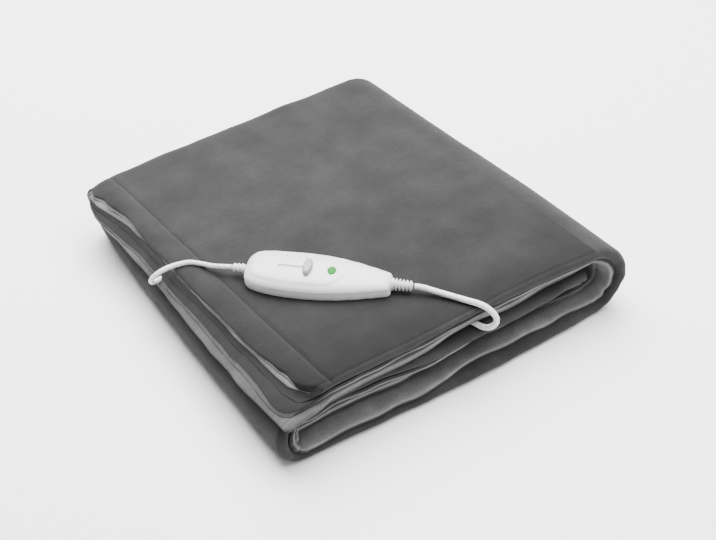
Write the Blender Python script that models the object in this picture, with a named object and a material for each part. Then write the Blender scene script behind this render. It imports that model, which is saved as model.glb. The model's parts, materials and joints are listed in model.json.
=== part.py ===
"""A folded electric heated throw with a slide-switch hand control lying on it.

The throw is two fleece panels, a dark and a light one, sewn together. It is folded in half
twice, light side inward, which gives a packet of four layers. The packet is then rolled over
in three, so that it lies top, bottom and middle like a flat spiral with twelve layers.

Frame: metres, +Z up, the origin on the floor under the middle of the folded throw. It is
drawn a few millimetres off that, and moved there at the end.
+X runs from the narrow turned end to the wide turned end, and +Y from the front, where the
edges of the layers show, to the back.
"""

import math

import bmesh
import bpy
from mathutils import Matrix, Vector

MM = 0.001
GAP = 0.3 * MM

# ---- the folded throw -------------------------------------------------------------------

# Height of the stack over its four corners: low at the far left, where the folds are slack.
HEIGHT_NEAR_LEFT = 78.7 * MM
HEIGHT_NEAR_RIGHT = 83.5 * MM
HEIGHT_FAR_LEFT = 69.0 * MM
HEIGHT_FAR_RIGHT = 82.5 * MM
PLAN_X = (-200.0 * MM, 200.0 * MM)
PLAN_Y = (-200.0 * MM, 205.0 * MM)

# Where the edges run, at the front and at the back.
NARROW_TURN_X = (-213.0 * MM, -180.0 * MM)
WIDE_TURN_X = (207.0 * MM, 186.0 * MM)
INNER_HEM_X = (160.0 * MM, 138.0 * MM)
# And at the left and at the right.
FRONT_Y = (-198.0 * MM, -208.0 * MM)
BACK_Y = (202.0 * MM, 208.0 * MM)

# One packet of four layers, as shares of the height of the stack.
PACKET_SHARE = 0.3225
MIDDLE_TOP_SHARE = 2.0 / 3.0
# The same packet in millimetres of a stack of the nominal height, as the section is drawn.
PACKET = 25.4
LAYER_PITCH = PACKET / 4.0
FLEECE_OUT = 2.95
FLEECE_IN = 0.15
OUTER_SPARE = LAYER_PITCH / 2.0 - FLEECE_OUT

# Straight stretches are cut at these places, so that the hollow over the lead keeps its form.
CUT_X = (-126.0, -104.0, -46.0, -12.0, 26.0, 60.0, 92.0, 114.0)
BOTTOM_X = (114.0, 60.0, 0.0, -60.0, -126.0)
CUT_Y = (-108.0, -86.0, 52.0, 74.0)
BEFORE_HEM = (22.0 * MM, 9.0 * MM)
TURN_STEPS = 6

# How far each edge lies behind the front line, in mm, at places along the roll. The places
# count the stretches: 0 to 1 the top from its hem, 1 to 2 the wide turn, 2 to 3 the bottom,
# 3 to 4 the narrow turn, 4 to 5 the middle.
EDGE_COLUMNS = ("place", "nose", "third", "fourth", "back")
EDGE_ROWS = (
    (0.00, 0.0, 3.0, 1.0, 0.0),
    (0.45, 0.0, 3.0, 1.0, 2.0),
    (0.62, 3.0, 5.0, 3.0, 3.0),
    (1.00, 4.0, 4.0, 8.0, 1.0),
    (1.50, 0.0, 0.0, 21.0, 0.0),
    (2.00, -4.0, 1.0, 14.0, 2.0),
    (2.20, -10.0, 0.0, 14.0, 3.0),
    (2.45, -11.0, -1.0, 18.0, 3.0),
    (2.62, -10.0, -5.0, 6.0, 2.0),
    (2.85, -7.0, -7.0, 0.0, 1.0),
    (3.00, -5.0, -5.0, -3.0, 1.0),
    (3.50, -3.0, -2.0, -3.0, 4.0),
    (4.00, 2.0, 4.0, -3.0, 6.0),
    (4.20, 6.0, 9.0, 0.0, 6.0),
    (4.40, 5.0, 5.0, 5.0, 5.0),
    (4.60, 7.0, 7.0, 17.0, 5.0),
    (5.00, 14.0, 15.0, 24.0, 8.0),
)

# The hem of the top, from front to back: where the outer layer ends, in mm, and how much
# further out the innermost one reaches. Past the narrow turn it hangs over the turn's round.
HEM_COLUMNS = ("deep", "edge", "reach")
HEM_ROWS = (
    (0.00, -180.0, 31.0),
    (0.28, -180.0, 24.0),
    (0.42, -180.0, 18.0),
    (0.62, -180.0, 11.0),
    (1.00, -181.0, 9.0),
)
HEM_REACH_FROM = 0.125
HEM_REACH_TO = 0.875
DRAPE = 0.55
DRAPE_LIMIT = 0.9

# The lead is stored between the top and the middle: the hollow's room, and its ramps.
POCKET_X = (-126.0 * MM, -104.0 * MM, 92.0 * MM, 114.0 * MM)
POCKET_Y = (-108.0 * MM, -86.0 * MM, 52.0 * MM, 74.0 * MM)
POCKET_DENT = 6.9 * MM
CHANNEL_X = (-46.0 * MM, -12.0 * MM, 26.0 * MM, 60.0 * MM)
CHANNEL_DENT = 6.2 * MM

# ---- the hand control -------------------------------------------------------------------

CONTROL_AT = Vector((-81.5 * MM, -77.5 * MM))
CONTROL_ALONG = Vector((0.684, -0.729)).normalized()
CONTROL_FEET = (60.0 * MM, 15.0 * MM)
CONTROL_LENGTH = 143.0
CONTROL_LIFT = 0.5 * MM
PARTING = 9.0
SHELL_COLUMNS = ("along", "half_width", "top")
SHELL_ROWS = (
    (-71.5, 12.5, 13.0),
    (-70.0, 16.5, 15.4),
    (-66.0, 20.0, 17.4),
    (-58.0, 24.0, 18.8),
    (-45.0, 26.5, 19.8),
    (-28.0, 28.0, 20.2),
    (-12.0, 28.4, 20.2),
    (4.0, 27.7, 20.0),
    (20.0, 25.7, 19.2),
    (36.0, 22.3, 18.0),
    (52.0, 17.9, 16.6),
    (64.0, 14.2, 15.2),
    (70.0, 12.0, 13.8),
    (71.5, 10.0, 12.8),
)
SHELL_SIDE_STEPS = 4
BASE_ROUND = 3.0
TOP_ROUND = 0.45

# The slot, the switch button and the lamp lie in a row beside the middle line.
ROW_ASIDE = -3.5
SLOT_ALONG = (-38.5, -6.5)
SLOT_WIDTH = 2.2
SLOT_DEPTH = 4.0
KNOB_AT = -10.5
KNOB_LENGTH = 9.0
KNOB_WIDTH = 20.0
KNOB_HEIGHT = 5.0
KNOB_STEM = (4.0, 1.4, 3.0)
KNOB_CLEAR = 0.35
KNOB_ROWS = ((0.0, 1.0), (0.45, 1.0), (0.8, 0.9), (1.0, 0.68))
LAMP_AT = 14.5
LAMP_LENGTH = 8.0
LAMP_WIDTH = 11.0
LAMP_DEPTH = 1.6
LAMP_PROUD = 0.5

# Sleeves: distance from the shell, radius, both in mm.
SLEEVE_ROWS = ((0.3, 4.4), (2.6, 4.6), (3.2, 3.7), (4.4, 3.7), (5.0, 4.4), (7.4, 4.3), (8.0, 3.5),
               (9.2, 3.5), (9.8, 4.1), (12.4, 3.9), (13.2, 3.3))
RELIEF_ROWS = ((0.3, 6.0), (3.2, 5.9), (4.0, 4.7), (5.2, 4.6), (6.0, 5.4), (8.6, 5.1), (9.4, 4.2),
               (10.6, 4.1), (11.4, 4.8), (14.0, 4.5), (14.8, 3.8), (16.0, 3.8), (16.8, 4.2),
               (20.0, 3.9), (22.5, 3.5))
SLEEVE_HEIGHT = 9.5
RELIEF_HEIGHT = 7.6
SLEEVE_SIDES = 12

# ---- the leads --------------------------------------------------------------------------

BLANKET_LEAD_DIAMETER = 5.0 * MM
MAINS_LEAD_DIAMETER = 6.0 * MM
LEAD_STEP = 2.5

# Routes, chosen point by point, in mm: x, y and the height of the lead's middle.
BLANKET_LEAD_ROUTE = (
    (-139.9, -15.4, 85.7),
    (-145.8, -9.0, 84.8),
    (-151.5, 2.0, 81.2),
    (-156.5, 14.0, 78.3),
    (-165.0, 24.5, 77.4),
    (-179.0, 29.5, 77.0),
    (-191.5, 31.0, 76.0),
    (-199.8, 33.0, 71.5),
    (-202.4, 36.0, 65.5),
    (-200.2, 39.0, 59.5),
    (-194.4, 41.5, 56.5),
)
MAINS_LEAD_ROUTE = (
    (-16.9, -146.5, 88.4),
    (-11.0, -152.8, 87.7),
    (-2.6, -163.3, 85.6),
    (4.8, -175.4, 85.0),
    (13.0, -189.8, 84.9),
    (20.3, -203.1, 84.7),
    (25.3, -213.0, 79.5),
    (27.3, -217.0, 72.0),
    (25.0, -215.0, 64.5),
    (21.5, -207.5, 59.0),
    (18.5, -196.0, 58.0),
    (15.0, -180.0, 57.8),
    (11.0, -150.0, 57.45),
    (8.0, -120.0, 57.1),
    (6.0, -103.0, 56.0),
    (0.0, -91.0, 54.2),
    (-10.0, -83.4, 53.4),
)
TAIL_ROUTE = (
    (57.0, -11.0, 53.4),
    (66.0, -9.5, 53.4),
    (75.0, -3.5, 53.5),
    (79.5, 6.0, 53.5),
    (78.5, 16.5, 53.5),
    (72.0, 25.0, 53.4),
    (62.0, 29.0, 53.3),
    (51.4, 29.0, 53.2),
)

# The stored length, wound as a flat hank two turns high.
POCKET_LIFT = 0.5 * MM
HANK_CENTRE = (-11.5, -44.0)
HANK_RUN = 95.0
HANK_HALF_WIDTH = 36.0
HANK_THICK = 12.4
HANK_END_STEPS = 9

# A flat two-pin plug lying beside the hank.
PLUG_REAR = (36.0, 29.0)
PLUG_BODY = 36.0
PLUG_WIDTH = 35.0
PLUG_THICK = 13.5
PLUG_COLUMNS = ("from_rear", "width", "thick")
PLUG_ROWS = ((-15.0, 7.0, 7.0), (-1.0, 9.0, 9.0), (3.0, 20.0, 11.5), (12.0, 26.0, 13.5),
             (22.0, 35.0, 13.5), (36.0, 35.0, 13.5))
PLUG_SIDES = 12
PLUG_SQUARE = 0.6
PIN_ROWS = ((0.3, 2.0), (18.0, 2.0), (19.0, 1.2))
PIN_SIDES = 10
PIN_SPACING = 18.6


# The point of the drawing that is put on the origin: on the floor, under the middle.
MIDDLE = Vector((-2.8 * MM, -3.77 * MM, 0.0))

# ---- helpers ----------------------------------------------------------------------------


def clear_objects():
    """Removes whatever the file holds."""
    for item in list(bpy.data.objects):
        bpy.data.objects.remove(item, do_unlink=True)


def mix(low, high, share):
    """The value that share of the way from low to high."""
    return low + (high - low) * share


def clamp(value):
    """The value, kept from 0 to 1."""
    return min(1.0, max(0.0, value))


def material(name, colour, roughness):
    """A plain plastic or cloth material."""
    made = bpy.data.materials.new(name)
    made.use_nodes = True
    shader = made.node_tree.nodes["Principled BSDF"]
    shader.inputs["Base Color"].default_value = (*colour, 1.0)
    shader.inputs["Roughness"].default_value = roughness
    shader.inputs["Metallic"].default_value = 0.0
    made.diffuse_color = (*colour, 1.0)
    return made


def mesh_object(name, points, faces, finish, smooth=True):
    """A named object from points and faces, in metres."""
    mesh = bpy.data.meshes.new(name)
    mesh.from_pydata([tuple(p) for p in points], [], faces)
    mesh.materials.append(finish)
    if smooth:
        mesh.shade_smooth()
        mesh.set_sharp_from_angle(angle=math.radians(35.0))
    mesh.update()
    made = bpy.data.objects.new(name, mesh)
    bpy.context.scene.collection.objects.link(made)
    return made


def tube(name, points, sides, frame, finish):
    """A closed solid from rings of points, given in mm in a frame, with both ends filled."""
    faces = []
    for low in range(0, len(points) - sides, sides):
        for k in range(sides):
            after = (k + 1) % sides
            faces.append((low + k, low + after, low + sides + after, low + sides + k))
    faces.append(tuple(reversed(range(sides))))
    faces.append(tuple(range(len(points) - sides, len(points))))
    made = mesh_object(name, [frame @ (Vector(p) * MM) for p in points], faces, finish)
    shape = bmesh.new()
    shape.from_mesh(made.data)
    bmesh.ops.recalc_face_normals(shape, faces=shape.faces)
    shape.to_mesh(made.data)
    shape.free()
    return made


def table_at(rows, place):
    """One row of a table, read at a place in its first column, with straight lines between."""
    if place <= rows[0][0]:
        return rows[0]
    for low, high in zip(rows, rows[1:]):
        if place <= high[0]:
            share = (place - low[0]) / (high[0] - low[0])
            return tuple(mix(a, b, share) for a, b in zip(low, high))
    return rows[-1]


# ---- the throw --------------------------------------------------------------------------


def height_at(x, y):
    """The height of the stack over a point of the plan."""
    across = clamp((x - PLAN_X[0]) / (PLAN_X[1] - PLAN_X[0]))
    deep = clamp((y - PLAN_Y[0]) / (PLAN_Y[1] - PLAN_Y[0]))
    near = mix(HEIGHT_NEAR_LEFT, HEIGHT_NEAR_RIGHT, across)
    far = mix(HEIGHT_FAR_LEFT, HEIGHT_FAR_RIGHT, across)
    return mix(near, far, deep)


def trapezium(value, corners):
    """0 outside, 1 between the two inner corners, and straight ramps between."""
    start, low, high, end = corners
    return min(clamp((value - start) / (low - start)), clamp((end - value) / (end - high)))


def dent_above(x, y):
    """How far the cloth over the stored lead gives way to it."""
    channel = CHANNEL_DENT * trapezium(x, CHANNEL_X) if y < POCKET_Y[2] else 0.0
    return max(dent_below(x, y), channel)


def dent_below(x, y):
    """How far the cloth under the stored lead gives way to it."""
    return POCKET_DENT * min(trapezium(x, POCKET_X), trapezium(y, POCKET_Y))


def deep_at(y):
    """How deep y lies in the plan: 0 at the front, 1 at the back."""
    return clamp((y - PLAN_Y[0]) / (PLAN_Y[1] - PLAN_Y[0]))


def drape_at(x, y):
    """How far the hem hangs where it reaches past the middle of the narrow turn."""
    tip = mix(*NARROW_TURN_X, deep_at(y))
    radius = height_at(tip, y) / 3.0
    past = min(max(0.0, tip + radius - x), DRAPE_LIMIT * radius)
    return DRAPE * (radius - math.sqrt(radius ** 2 - past ** 2))


class Station:
    """One cut through the roll: where its outer face runs, and how its edges lie."""

    def __init__(self, place, stretch, x=None, turn=0.0, before_hem=0.0):
        self.place = place
        self.stretch = stretch
        self.x = x
        self.turn = turn
        self.before_hem = before_hem
        row = table_at(EDGE_ROWS, place)
        self.edges = dict(zip(EDGE_COLUMNS, (value * MM for value in row)))

    def plan_x(self, y, depth=0.0):
        """The station's x at y, that share of the packet's thickness in."""
        deep = deep_at(y)
        if self.stretch == "wide turn":
            return mix(*WIDE_TURN_X, deep)
        if self.stretch == "narrow turn":
            return mix(*NARROW_TURN_X, deep)
        if self.x == "inner hem":
            return mix(*INNER_HEM_X, deep)
        if self.x is not None:
            return self.x * MM
        edge, reach = table_at(HEM_ROWS, deep)[1:]
        inner = clamp((depth - HEM_REACH_FROM) / (HEM_REACH_TO - HEM_REACH_FROM))
        return (edge - reach * inner) * MM + self.before_hem

    def turned(self, x, y, depth, radius_share):
        """A point of one of the two turns."""
        side = 1.0 if self.stretch == "narrow turn" else -1.0
        centre = x + side * height_at(x, y) * radius_share
        height = height_at(centre, y)
        centre = x + side * height * radius_share
        radius = height * radius_share
        inward = radius - depth * PACKET_SHARE * height
        return Vector((centre + inward * math.cos(self.turn), y,
                       radius + inward * math.sin(self.turn)))

    def place_of(self, y, depth):
        """The point at y, that share of the packet's thickness in from the outer face."""
        x = self.plan_x(y, depth)
        if self.stretch == "wide turn":
            return self.turned(x, y, depth, 1.0 / 2.0)
        if self.stretch == "narrow turn":
            return self.turned(x, y, depth, 1.0 / 3.0)
        height = height_at(x, y)
        thick = PACKET_SHARE * height
        if self.stretch == "bottom":
            return Vector((x, y, depth * thick))
        if self.stretch == "top":
            below = depth * (thick - dent_above(x, y))
            return Vector((x, y, height - below - drape_at(x, y)))
        dent = dent_below(x, y)
        top = MIDDLE_TOP_SHARE * height - dent
        return Vector((x, y, top - depth * (thick - dent)))


def stations():
    """The cuts along the roll, from the hem of the top to the hem of the middle."""
    found = [Station(0.0, "top")]
    found += [Station(0.03, "top", before_hem=inward) for inward in reversed(BEFORE_HEM)]
    span = (-190.0, 170.0)
    for x in CUT_X:
        found.append(Station(clamp((x - span[0]) / (span[1] - span[0])), "top", x))
    for step in range(TURN_STEPS + 1):
        share = step / TURN_STEPS
        found.append(Station(1.0 + share, "wide turn", None, math.pi * (0.5 - share)))
    for x in BOTTOM_X:
        found.append(Station(2.0 + clamp((span[1] - x) / (span[1] - span[0])), "bottom", x))
    for step in range(TURN_STEPS + 1):
        share = step / TURN_STEPS
        found.append(Station(3.0 + share, "narrow turn", None, -math.pi * (0.5 + share)))
    for x in CUT_X:
        found.append(Station(4.0 + clamp((x - span[0]) / (span[1] - span[0])), "middle", x))
    found.append(Station(5.0, "middle", "inner hem"))
    return found


def arc(centre_y, centre_o, radius, start, end, steps):
    """Points of a round turn in the section, both ends included."""
    points = []
    for step in range(steps + 1):
        angle = mix(start, end, step / steps)
        points.append((centre_y + radius * math.cos(angle) * MM,
                       centre_o + radius * math.sin(angle)))
    return points


def section_line(station, offset):
    """One face of the cloth through the four layers: y, and the share of the packet's depth.

    offset is the distance from the cloth's middle in mm, towards the dark side.
    """
    edges = station.edges
    across = clamp((station.plan_x(PLAN_Y[0]) - PLAN_X[0]) / (PLAN_X[1] - PLAN_X[0]))
    front = mix(*FRONT_Y, across)
    back = mix(*BACK_Y, across)
    half = LAYER_PITCH / 2.0
    outer_radius = 3.0 * half
    nose_y = front + edges["nose"] + (half + FLEECE_OUT) * MM
    back_y = back - edges["back"] - (outer_radius + FLEECE_OUT) * MM
    middle = PACKET / 2.0
    cuts = [y * MM for y in CUT_Y]
    first, second, third, fourth = (half, 3.0 * half, 5.0 * half, 7.0 * half)
    line = [(front + edges["third"], third - offset)]
    line += [(y, third - offset) for y in cuts]
    line += arc(back_y, middle, half - offset, math.pi / 2.0, -math.pi / 2.0, 3)
    line += [(y, second + offset) for y in reversed(cuts)]
    line += arc(nose_y, LAYER_PITCH, half + offset, math.pi / 2.0, 1.5 * math.pi, 4)
    line += [(y, first - offset) for y in cuts]
    line += arc(back_y, middle, outer_radius + offset, -math.pi / 2.0, math.pi / 2.0, 5)
    line += [(y, fourth + offset) for y in reversed(cuts)]
    line.append((front + edges["fourth"], fourth + offset))
    return [(y, (depth - OUTER_SPARE) / PACKET) for y, depth in line]


def fleece(name, inner, outer, finish):
    """One closed panel: the cloth between two offsets of the section, carried along the roll."""
    cuts = stations()
    points = []
    for cut in cuts:
        for offset in (inner, outer):
            points += [cut.place_of(y, depth) for y, depth in section_line(cut, offset)]
    count = len(points) // (2 * len(cuts))
    faces = []

    def strip(a, b, c, d, flip):
        """Two triangles of one four-sided piece, always split the same way."""
        pair = [(a, b, c), (a, c, d)]
        faces.extend([tri[::-1] for tri in pair] if flip else pair)

    for cut in range(len(cuts) - 1):
        low = cut * 2 * count
        high = low + 2 * count
        for k in range(count - 1):
            strip(low + k, low + k + 1, high + k + 1, high + k, False)
            strip(low + count + k, low + count + k + 1, high + count + k + 1,
                  high + count + k, True)
        strip(low, high, high + count, low + count, False)
        last = count - 1
        strip(low + last, high + last, high + count + last, low + count + last, True)
    for end, flip in ((0, True), ((len(cuts) - 1) * 2 * count, False)):
        for k in range(count - 1):
            strip(end + k, end + k + 1, end + count + k + 1, end + count + k, flip)
    return mesh_object(name, points, faces, finish)


def lying_frame(at, along, reach, ground, lift):
    """The axes of a thing that lies on the cloth: +X along it, +Z off the cloth."""
    side = Vector((-along.y, along.x))
    feet = []
    for place in (at - along * reach[0], at + along * reach[0], at + side * reach[1]):
        feet.append(Vector((place.x, place.y, ground(place.x, place.y))))
    middle = (feet[0] + feet[1]) / 2.0
    x_axis = (feet[1] - feet[0]).normalized()
    z_axis = x_axis.cross(feet[2] - middle).normalized()
    y_axis = z_axis.cross(x_axis)
    turn = Matrix((x_axis, y_axis, z_axis)).transposed().to_4x4()
    return Matrix.Translation(middle + z_axis * lift) @ turn


# ---- the hand control -------------------------------------------------------------------


def control_frame():
    """The hand control's own axes: +X along it towards the mains end, +Z off the cloth."""
    return lying_frame(CONTROL_AT, CONTROL_ALONG, CONTROL_FEET, height_at, CONTROL_LIFT)


def shell_section(half_width, top, upper):
    """Half of the rounded section of the hand control, above or below its parting line."""
    points = []
    if upper:
        rise = top - PARTING
        for step in range(2 * SHELL_SIDE_STEPS + 1):
            angle = math.pi * step / (2 * SHELL_SIDE_STEPS)
            flat = math.copysign(abs(math.cos(angle)) ** TOP_ROUND, math.cos(angle))
            full = math.sin(angle) ** (2.0 * TOP_ROUND)
            points.append((half_width * flat, PARTING + GAP / MM / 2.0 + rise * full))
        return points
    low = PARTING - GAP / MM / 2.0
    inset = BASE_ROUND
    points = [(-half_width, low), (-half_width + 0.3, low / 2.0), (-half_width + inset, 0.0),
              (half_width - inset, 0.0), (half_width - 0.3, low / 2.0), (half_width, low)]
    return points


def shell(name, upper, frame, finish):
    """The upper or the lower shell of the hand control, lofted from its table."""
    points = []
    for row in SHELL_ROWS:
        cut = dict(zip(SHELL_COLUMNS, row))
        section = shell_section(cut["half_width"], cut["top"], upper)
        points += [(cut["along"], y, z) for y, z in section]
    return tube(name, points, len(section), frame, finish)


def top_at(along):
    """The height of the upper shell's ridge at a place along the hand control, in mm."""
    return table_at(SHELL_ROWS, along)[2]


def pillar(name, outline, low, high, frame, finish):
    """A closed prism over an outline, in the hand control's axes and in mm."""
    points = [frame @ (Vector((x, y, z)) * MM) for z in (low, high) for x, y in outline]
    count = len(outline)
    faces = [tuple(reversed(range(count))), tuple(range(count, 2 * count))]
    for k in range(count):
        after = (k + 1) % count
        faces.append((k, after, count + after, count + k))
    return mesh_object(name, points, faces, finish)


def oval(at, length, width, sides=16):
    """An oval outline around a place in the row of the slot."""
    turn = [2.0 * math.pi * k / sides for k in range(sides)]
    return [(at + length / 2.0 * math.cos(a), ROW_ASIDE + width / 2.0 * math.sin(a))
            for a in turn]


def oval_at(z, length, width, sides):
    """A ring of the switch button at a height, in mm."""
    return [(x, y, z) for x, y in oval(KNOB_AT, length, width, sides)]


def oblong(x_low, x_high, y_low, y_high):
    """A four-cornered outline."""
    return [(x_low, y_low), (x_high, y_low), (x_high, y_high), (x_low, y_high)]


def cut_with(body, cutter):
    """Cuts one object out of another, and keeps the cutter as a guide that isn't built."""
    cutter.hide_render = True
    cutter.display_type = "WIRE"
    cut = body.modifiers.new("cut_" + cutter.name, "BOOLEAN")
    cut.operation = "DIFFERENCE"
    cut.solver = "EXACT"
    cut.object = cutter


def knob(frame, finish):
    """The slide switch: an oval button on a stem that runs in the slot."""
    base = top_at(KNOB_AT) + KNOB_CLEAR
    stem_length, stem_width, stem_depth = KNOB_STEM
    sides = 16
    rings = [oval_at(base - stem_depth, stem_length, stem_width, sides),
             oval_at(base, stem_length, stem_width, sides)]
    for share, size in KNOB_ROWS:
        rings.append(oval_at(base + KNOB_HEIGHT * share, KNOB_LENGTH * size,
                             KNOB_WIDTH * size, sides))
    points = [point for ring in rings for point in ring]
    return tube("switch_knob", points, sides, frame, finish)


def sleeve(name, rows, side, height, frame, finish):
    """A ribbed sleeve turned about the hand control's axis, at one of its ends."""
    start = side * CONTROL_LENGTH / 2.0
    points = []
    for out, radius in rows:
        for k in range(SLEEVE_SIDES):
            angle = 2.0 * math.pi * (k + 0.5) / SLEEVE_SIDES
            points.append((start + side * out, radius * math.cos(angle),
                           height + radius * math.sin(angle)))
    return tube(name, points, SLEEVE_SIDES, frame, finish)


# ---- the leads --------------------------------------------------------------------------


def smooth_route(route):
    """Evenly spaced points of the smooth curve through a route's own points, in metres."""
    knots = [Vector(p) * MM for p in route]
    knots = [2 * knots[0] - knots[1]] + knots + [2 * knots[-1] - knots[-2]]
    fine = []
    for a, b, c, d in zip(knots, knots[1:], knots[2:], knots[3:]):
        for step in range(16):
            t = step / 16.0
            fine.append(0.5 * ((2 * b) + (c - a) * t + (2 * a - 5 * b + 4 * c - d) * t ** 2
                               + (3 * b - a - 3 * c + d) * t ** 3))
    fine.append(knots[-2])
    return fine


def spaced(points, step):
    """The points again, about one step apart."""
    along = [0.0]
    for a, b in zip(points, points[1:]):
        along.append(along[-1] + (b - a).length)
    count = max(2, round(along[-1] / step))
    found = []
    for k in range(count + 1):
        want = along[-1] * k / count
        low = max(i for i, far in enumerate(along) if far <= want + 1e-9)
        low = min(low, len(points) - 2)
        share = (want - along[low]) / max(1e-9, along[low + 1] - along[low])
        found.append(points[low].lerp(points[low + 1], clamp(share)))
    return found


def lead(name, route, diameter, finish):
    """A lead laid along its route as a curve with a round bevel."""
    curve = bpy.data.curves.new(name, "CURVE")
    curve.dimensions = "3D"
    curve.bevel_depth = diameter / 2.0
    curve.bevel_resolution = 2
    curve.use_fill_caps = True
    points = spaced(smooth_route(route), LEAD_STEP * diameter)
    spline = curve.splines.new("POLY")
    spline.points.add(len(points) - 1)
    for point, at in zip(spline.points, points):
        point.co = (*at, 1.0)
    curve.materials.append(finish)
    made = bpy.data.objects.new(name, curve)
    bpy.context.scene.collection.objects.link(made)
    return made


def pocket_floor(x, y):
    """The height of the cloth that the stored lead lies on."""
    return MIDDLE_TOP_SHARE * height_at(x, y) - dent_below(x, y)


def pocket_frame(x, y, reach):
    """The axes of a thing that lies along X in the hollow between top and middle."""
    at = Vector((x * MM, y * MM))
    return lying_frame(at, Vector((1.0, 0.0)), [r * MM for r in reach], pocket_floor, POCKET_LIFT)


def hank(finish):
    """The outer shape of the stored length of the mains lead: a slab with round ends."""
    outline = []
    for end in (1.0, -1.0):
        for step in range(HANK_END_STEPS):
            angle = math.pi * (step / (HANK_END_STEPS - 1) - 0.5) + (0.0 if end > 0 else math.pi)
            outline.append((end * HANK_RUN / 2.0 + HANK_HALF_WIDTH * math.cos(angle),
                            HANK_HALF_WIDTH * math.sin(angle)))
    frame = pocket_frame(*HANK_CENTRE, (HANK_RUN / 2.0, HANK_HALF_WIDTH))
    return pillar("mains_lead_hank", outline, 0.0, HANK_THICK, frame, finish)


def plug(finish, pin_finish):
    """A flat two-pin plug with its tapered relief, and its pins towards -X."""
    frame = pocket_frame(*PLUG_REAR, (PLUG_BODY / 2.0, PLUG_WIDTH / 2.0))
    middle = PLUG_THICK / 2.0
    points = []
    for row in PLUG_ROWS:
        cut = dict(zip(PLUG_COLUMNS, row))
        for k in range(PLUG_SIDES):
            angle = 2.0 * math.pi * (k + 0.5) / PLUG_SIDES
            flat = math.copysign(abs(math.cos(angle)) ** PLUG_SQUARE, math.cos(angle))
            full = math.copysign(abs(math.sin(angle)) ** PLUG_SQUARE, math.sin(angle))
            points.append((-cut["from_rear"], cut["width"] / 2.0 * flat,
                           middle + cut["thick"] / 2.0 * full))
    tube("mains_plug", points, PLUG_SIDES, frame, finish)
    for name, side in (("plug_pin_a", -1.0), ("plug_pin_b", 1.0)):
        points = []
        for out, radius in PIN_ROWS:
            for k in range(PIN_SIDES):
                angle = 2.0 * math.pi * k / PIN_SIDES
                points.append((-PLUG_BODY - out,
                               side * PIN_SPACING / 2.0 + radius * math.cos(angle),
                               middle + radius * math.sin(angle)))
        tube(name, points, PIN_SIDES, frame, pin_finish)


# ---- the whole --------------------------------------------------------------------------


def settle():
    """Moves what was drawn so that the middle of the throw stands over the origin."""
    for item in bpy.data.objects:
        item.data.transform(Matrix.Translation(-MIDDLE))


def main():
    """Builds the throw, its hand control and its leads."""
    clear_objects()
    dark = material("dark_fleece", (0.075, 0.075, 0.078), 0.95)
    light = material("light_fleece", (0.19, 0.19, 0.195), 0.95)
    white = material("white_abs", (0.78, 0.79, 0.80), 0.35)
    lens = material("green_lens", (0.05, 0.45, 0.08), 0.25)
    rubber = material("white_pvc", (0.76, 0.77, 0.78), 0.45)
    brass = material("nickelled_brass", (0.6, 0.58, 0.52), 0.3)

    fleece("dark_panel", FLEECE_IN, FLEECE_OUT, dark)
    fleece("light_panel", -FLEECE_OUT, -FLEECE_IN, light)

    frame = control_frame()
    shell("control_base", False, frame, white)
    upper = shell("control_cover", True, frame, white)
    slot_floor = top_at(sum(SLOT_ALONG) / 2.0) - SLOT_DEPTH
    slot_sides = (ROW_ASIDE - SLOT_WIDTH / 2.0, ROW_ASIDE + SLOT_WIDTH / 2.0)
    slot = pillar("slot_cutter", oblong(*SLOT_ALONG, *slot_sides),
                  slot_floor, slot_floor + 12.0, frame, white)
    cut_with(upper, slot)
    lamp_floor = top_at(LAMP_AT) - LAMP_DEPTH
    grown = 2.0 * GAP / MM
    seat = pillar("lamp_cutter", oval(LAMP_AT, LAMP_LENGTH + grown, LAMP_WIDTH + grown),
                  lamp_floor, lamp_floor + 12.0, frame, white)
    cut_with(upper, seat)
    pillar("lamp_lens", oval(LAMP_AT, LAMP_LENGTH, LAMP_WIDTH), lamp_floor + GAP / MM,
           top_at(LAMP_AT) + LAMP_PROUD, frame, lens)
    knob(frame, white)
    sleeve("blanket_sleeve", SLEEVE_ROWS, -1.0, SLEEVE_HEIGHT, frame, rubber)
    sleeve("mains_relief", RELIEF_ROWS, 1.0, RELIEF_HEIGHT, frame, rubber)

    lead("blanket_lead", BLANKET_LEAD_ROUTE, BLANKET_LEAD_DIAMETER, rubber)
    lead("mains_lead", MAINS_LEAD_ROUTE, MAINS_LEAD_DIAMETER, rubber)
    lead("mains_lead_tail", TAIL_ROUTE, MAINS_LEAD_DIAMETER, rubber)
    hank(rubber)
    plug(rubber, brass)
    settle()


main()
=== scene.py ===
"""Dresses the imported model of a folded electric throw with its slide-switch hand control.

The throw is one long roll of four layers of double-faced fleece. It lies top, bottom and middle,
joined by a wide turn at the right and a narrow turn at the left. The hand control lies across its
top, and its two leads go back into the folds. Sizes in the classes are millimetres, in the frame
that the solids were drawn in, and part_points() brings points into the part's own frame, in
metres.
"""

import json
import logging
import math
from dataclasses import dataclass, field
from enum import Enum

import bpy
import numpy as np
from mathutils import Matrix, Vector

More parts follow.
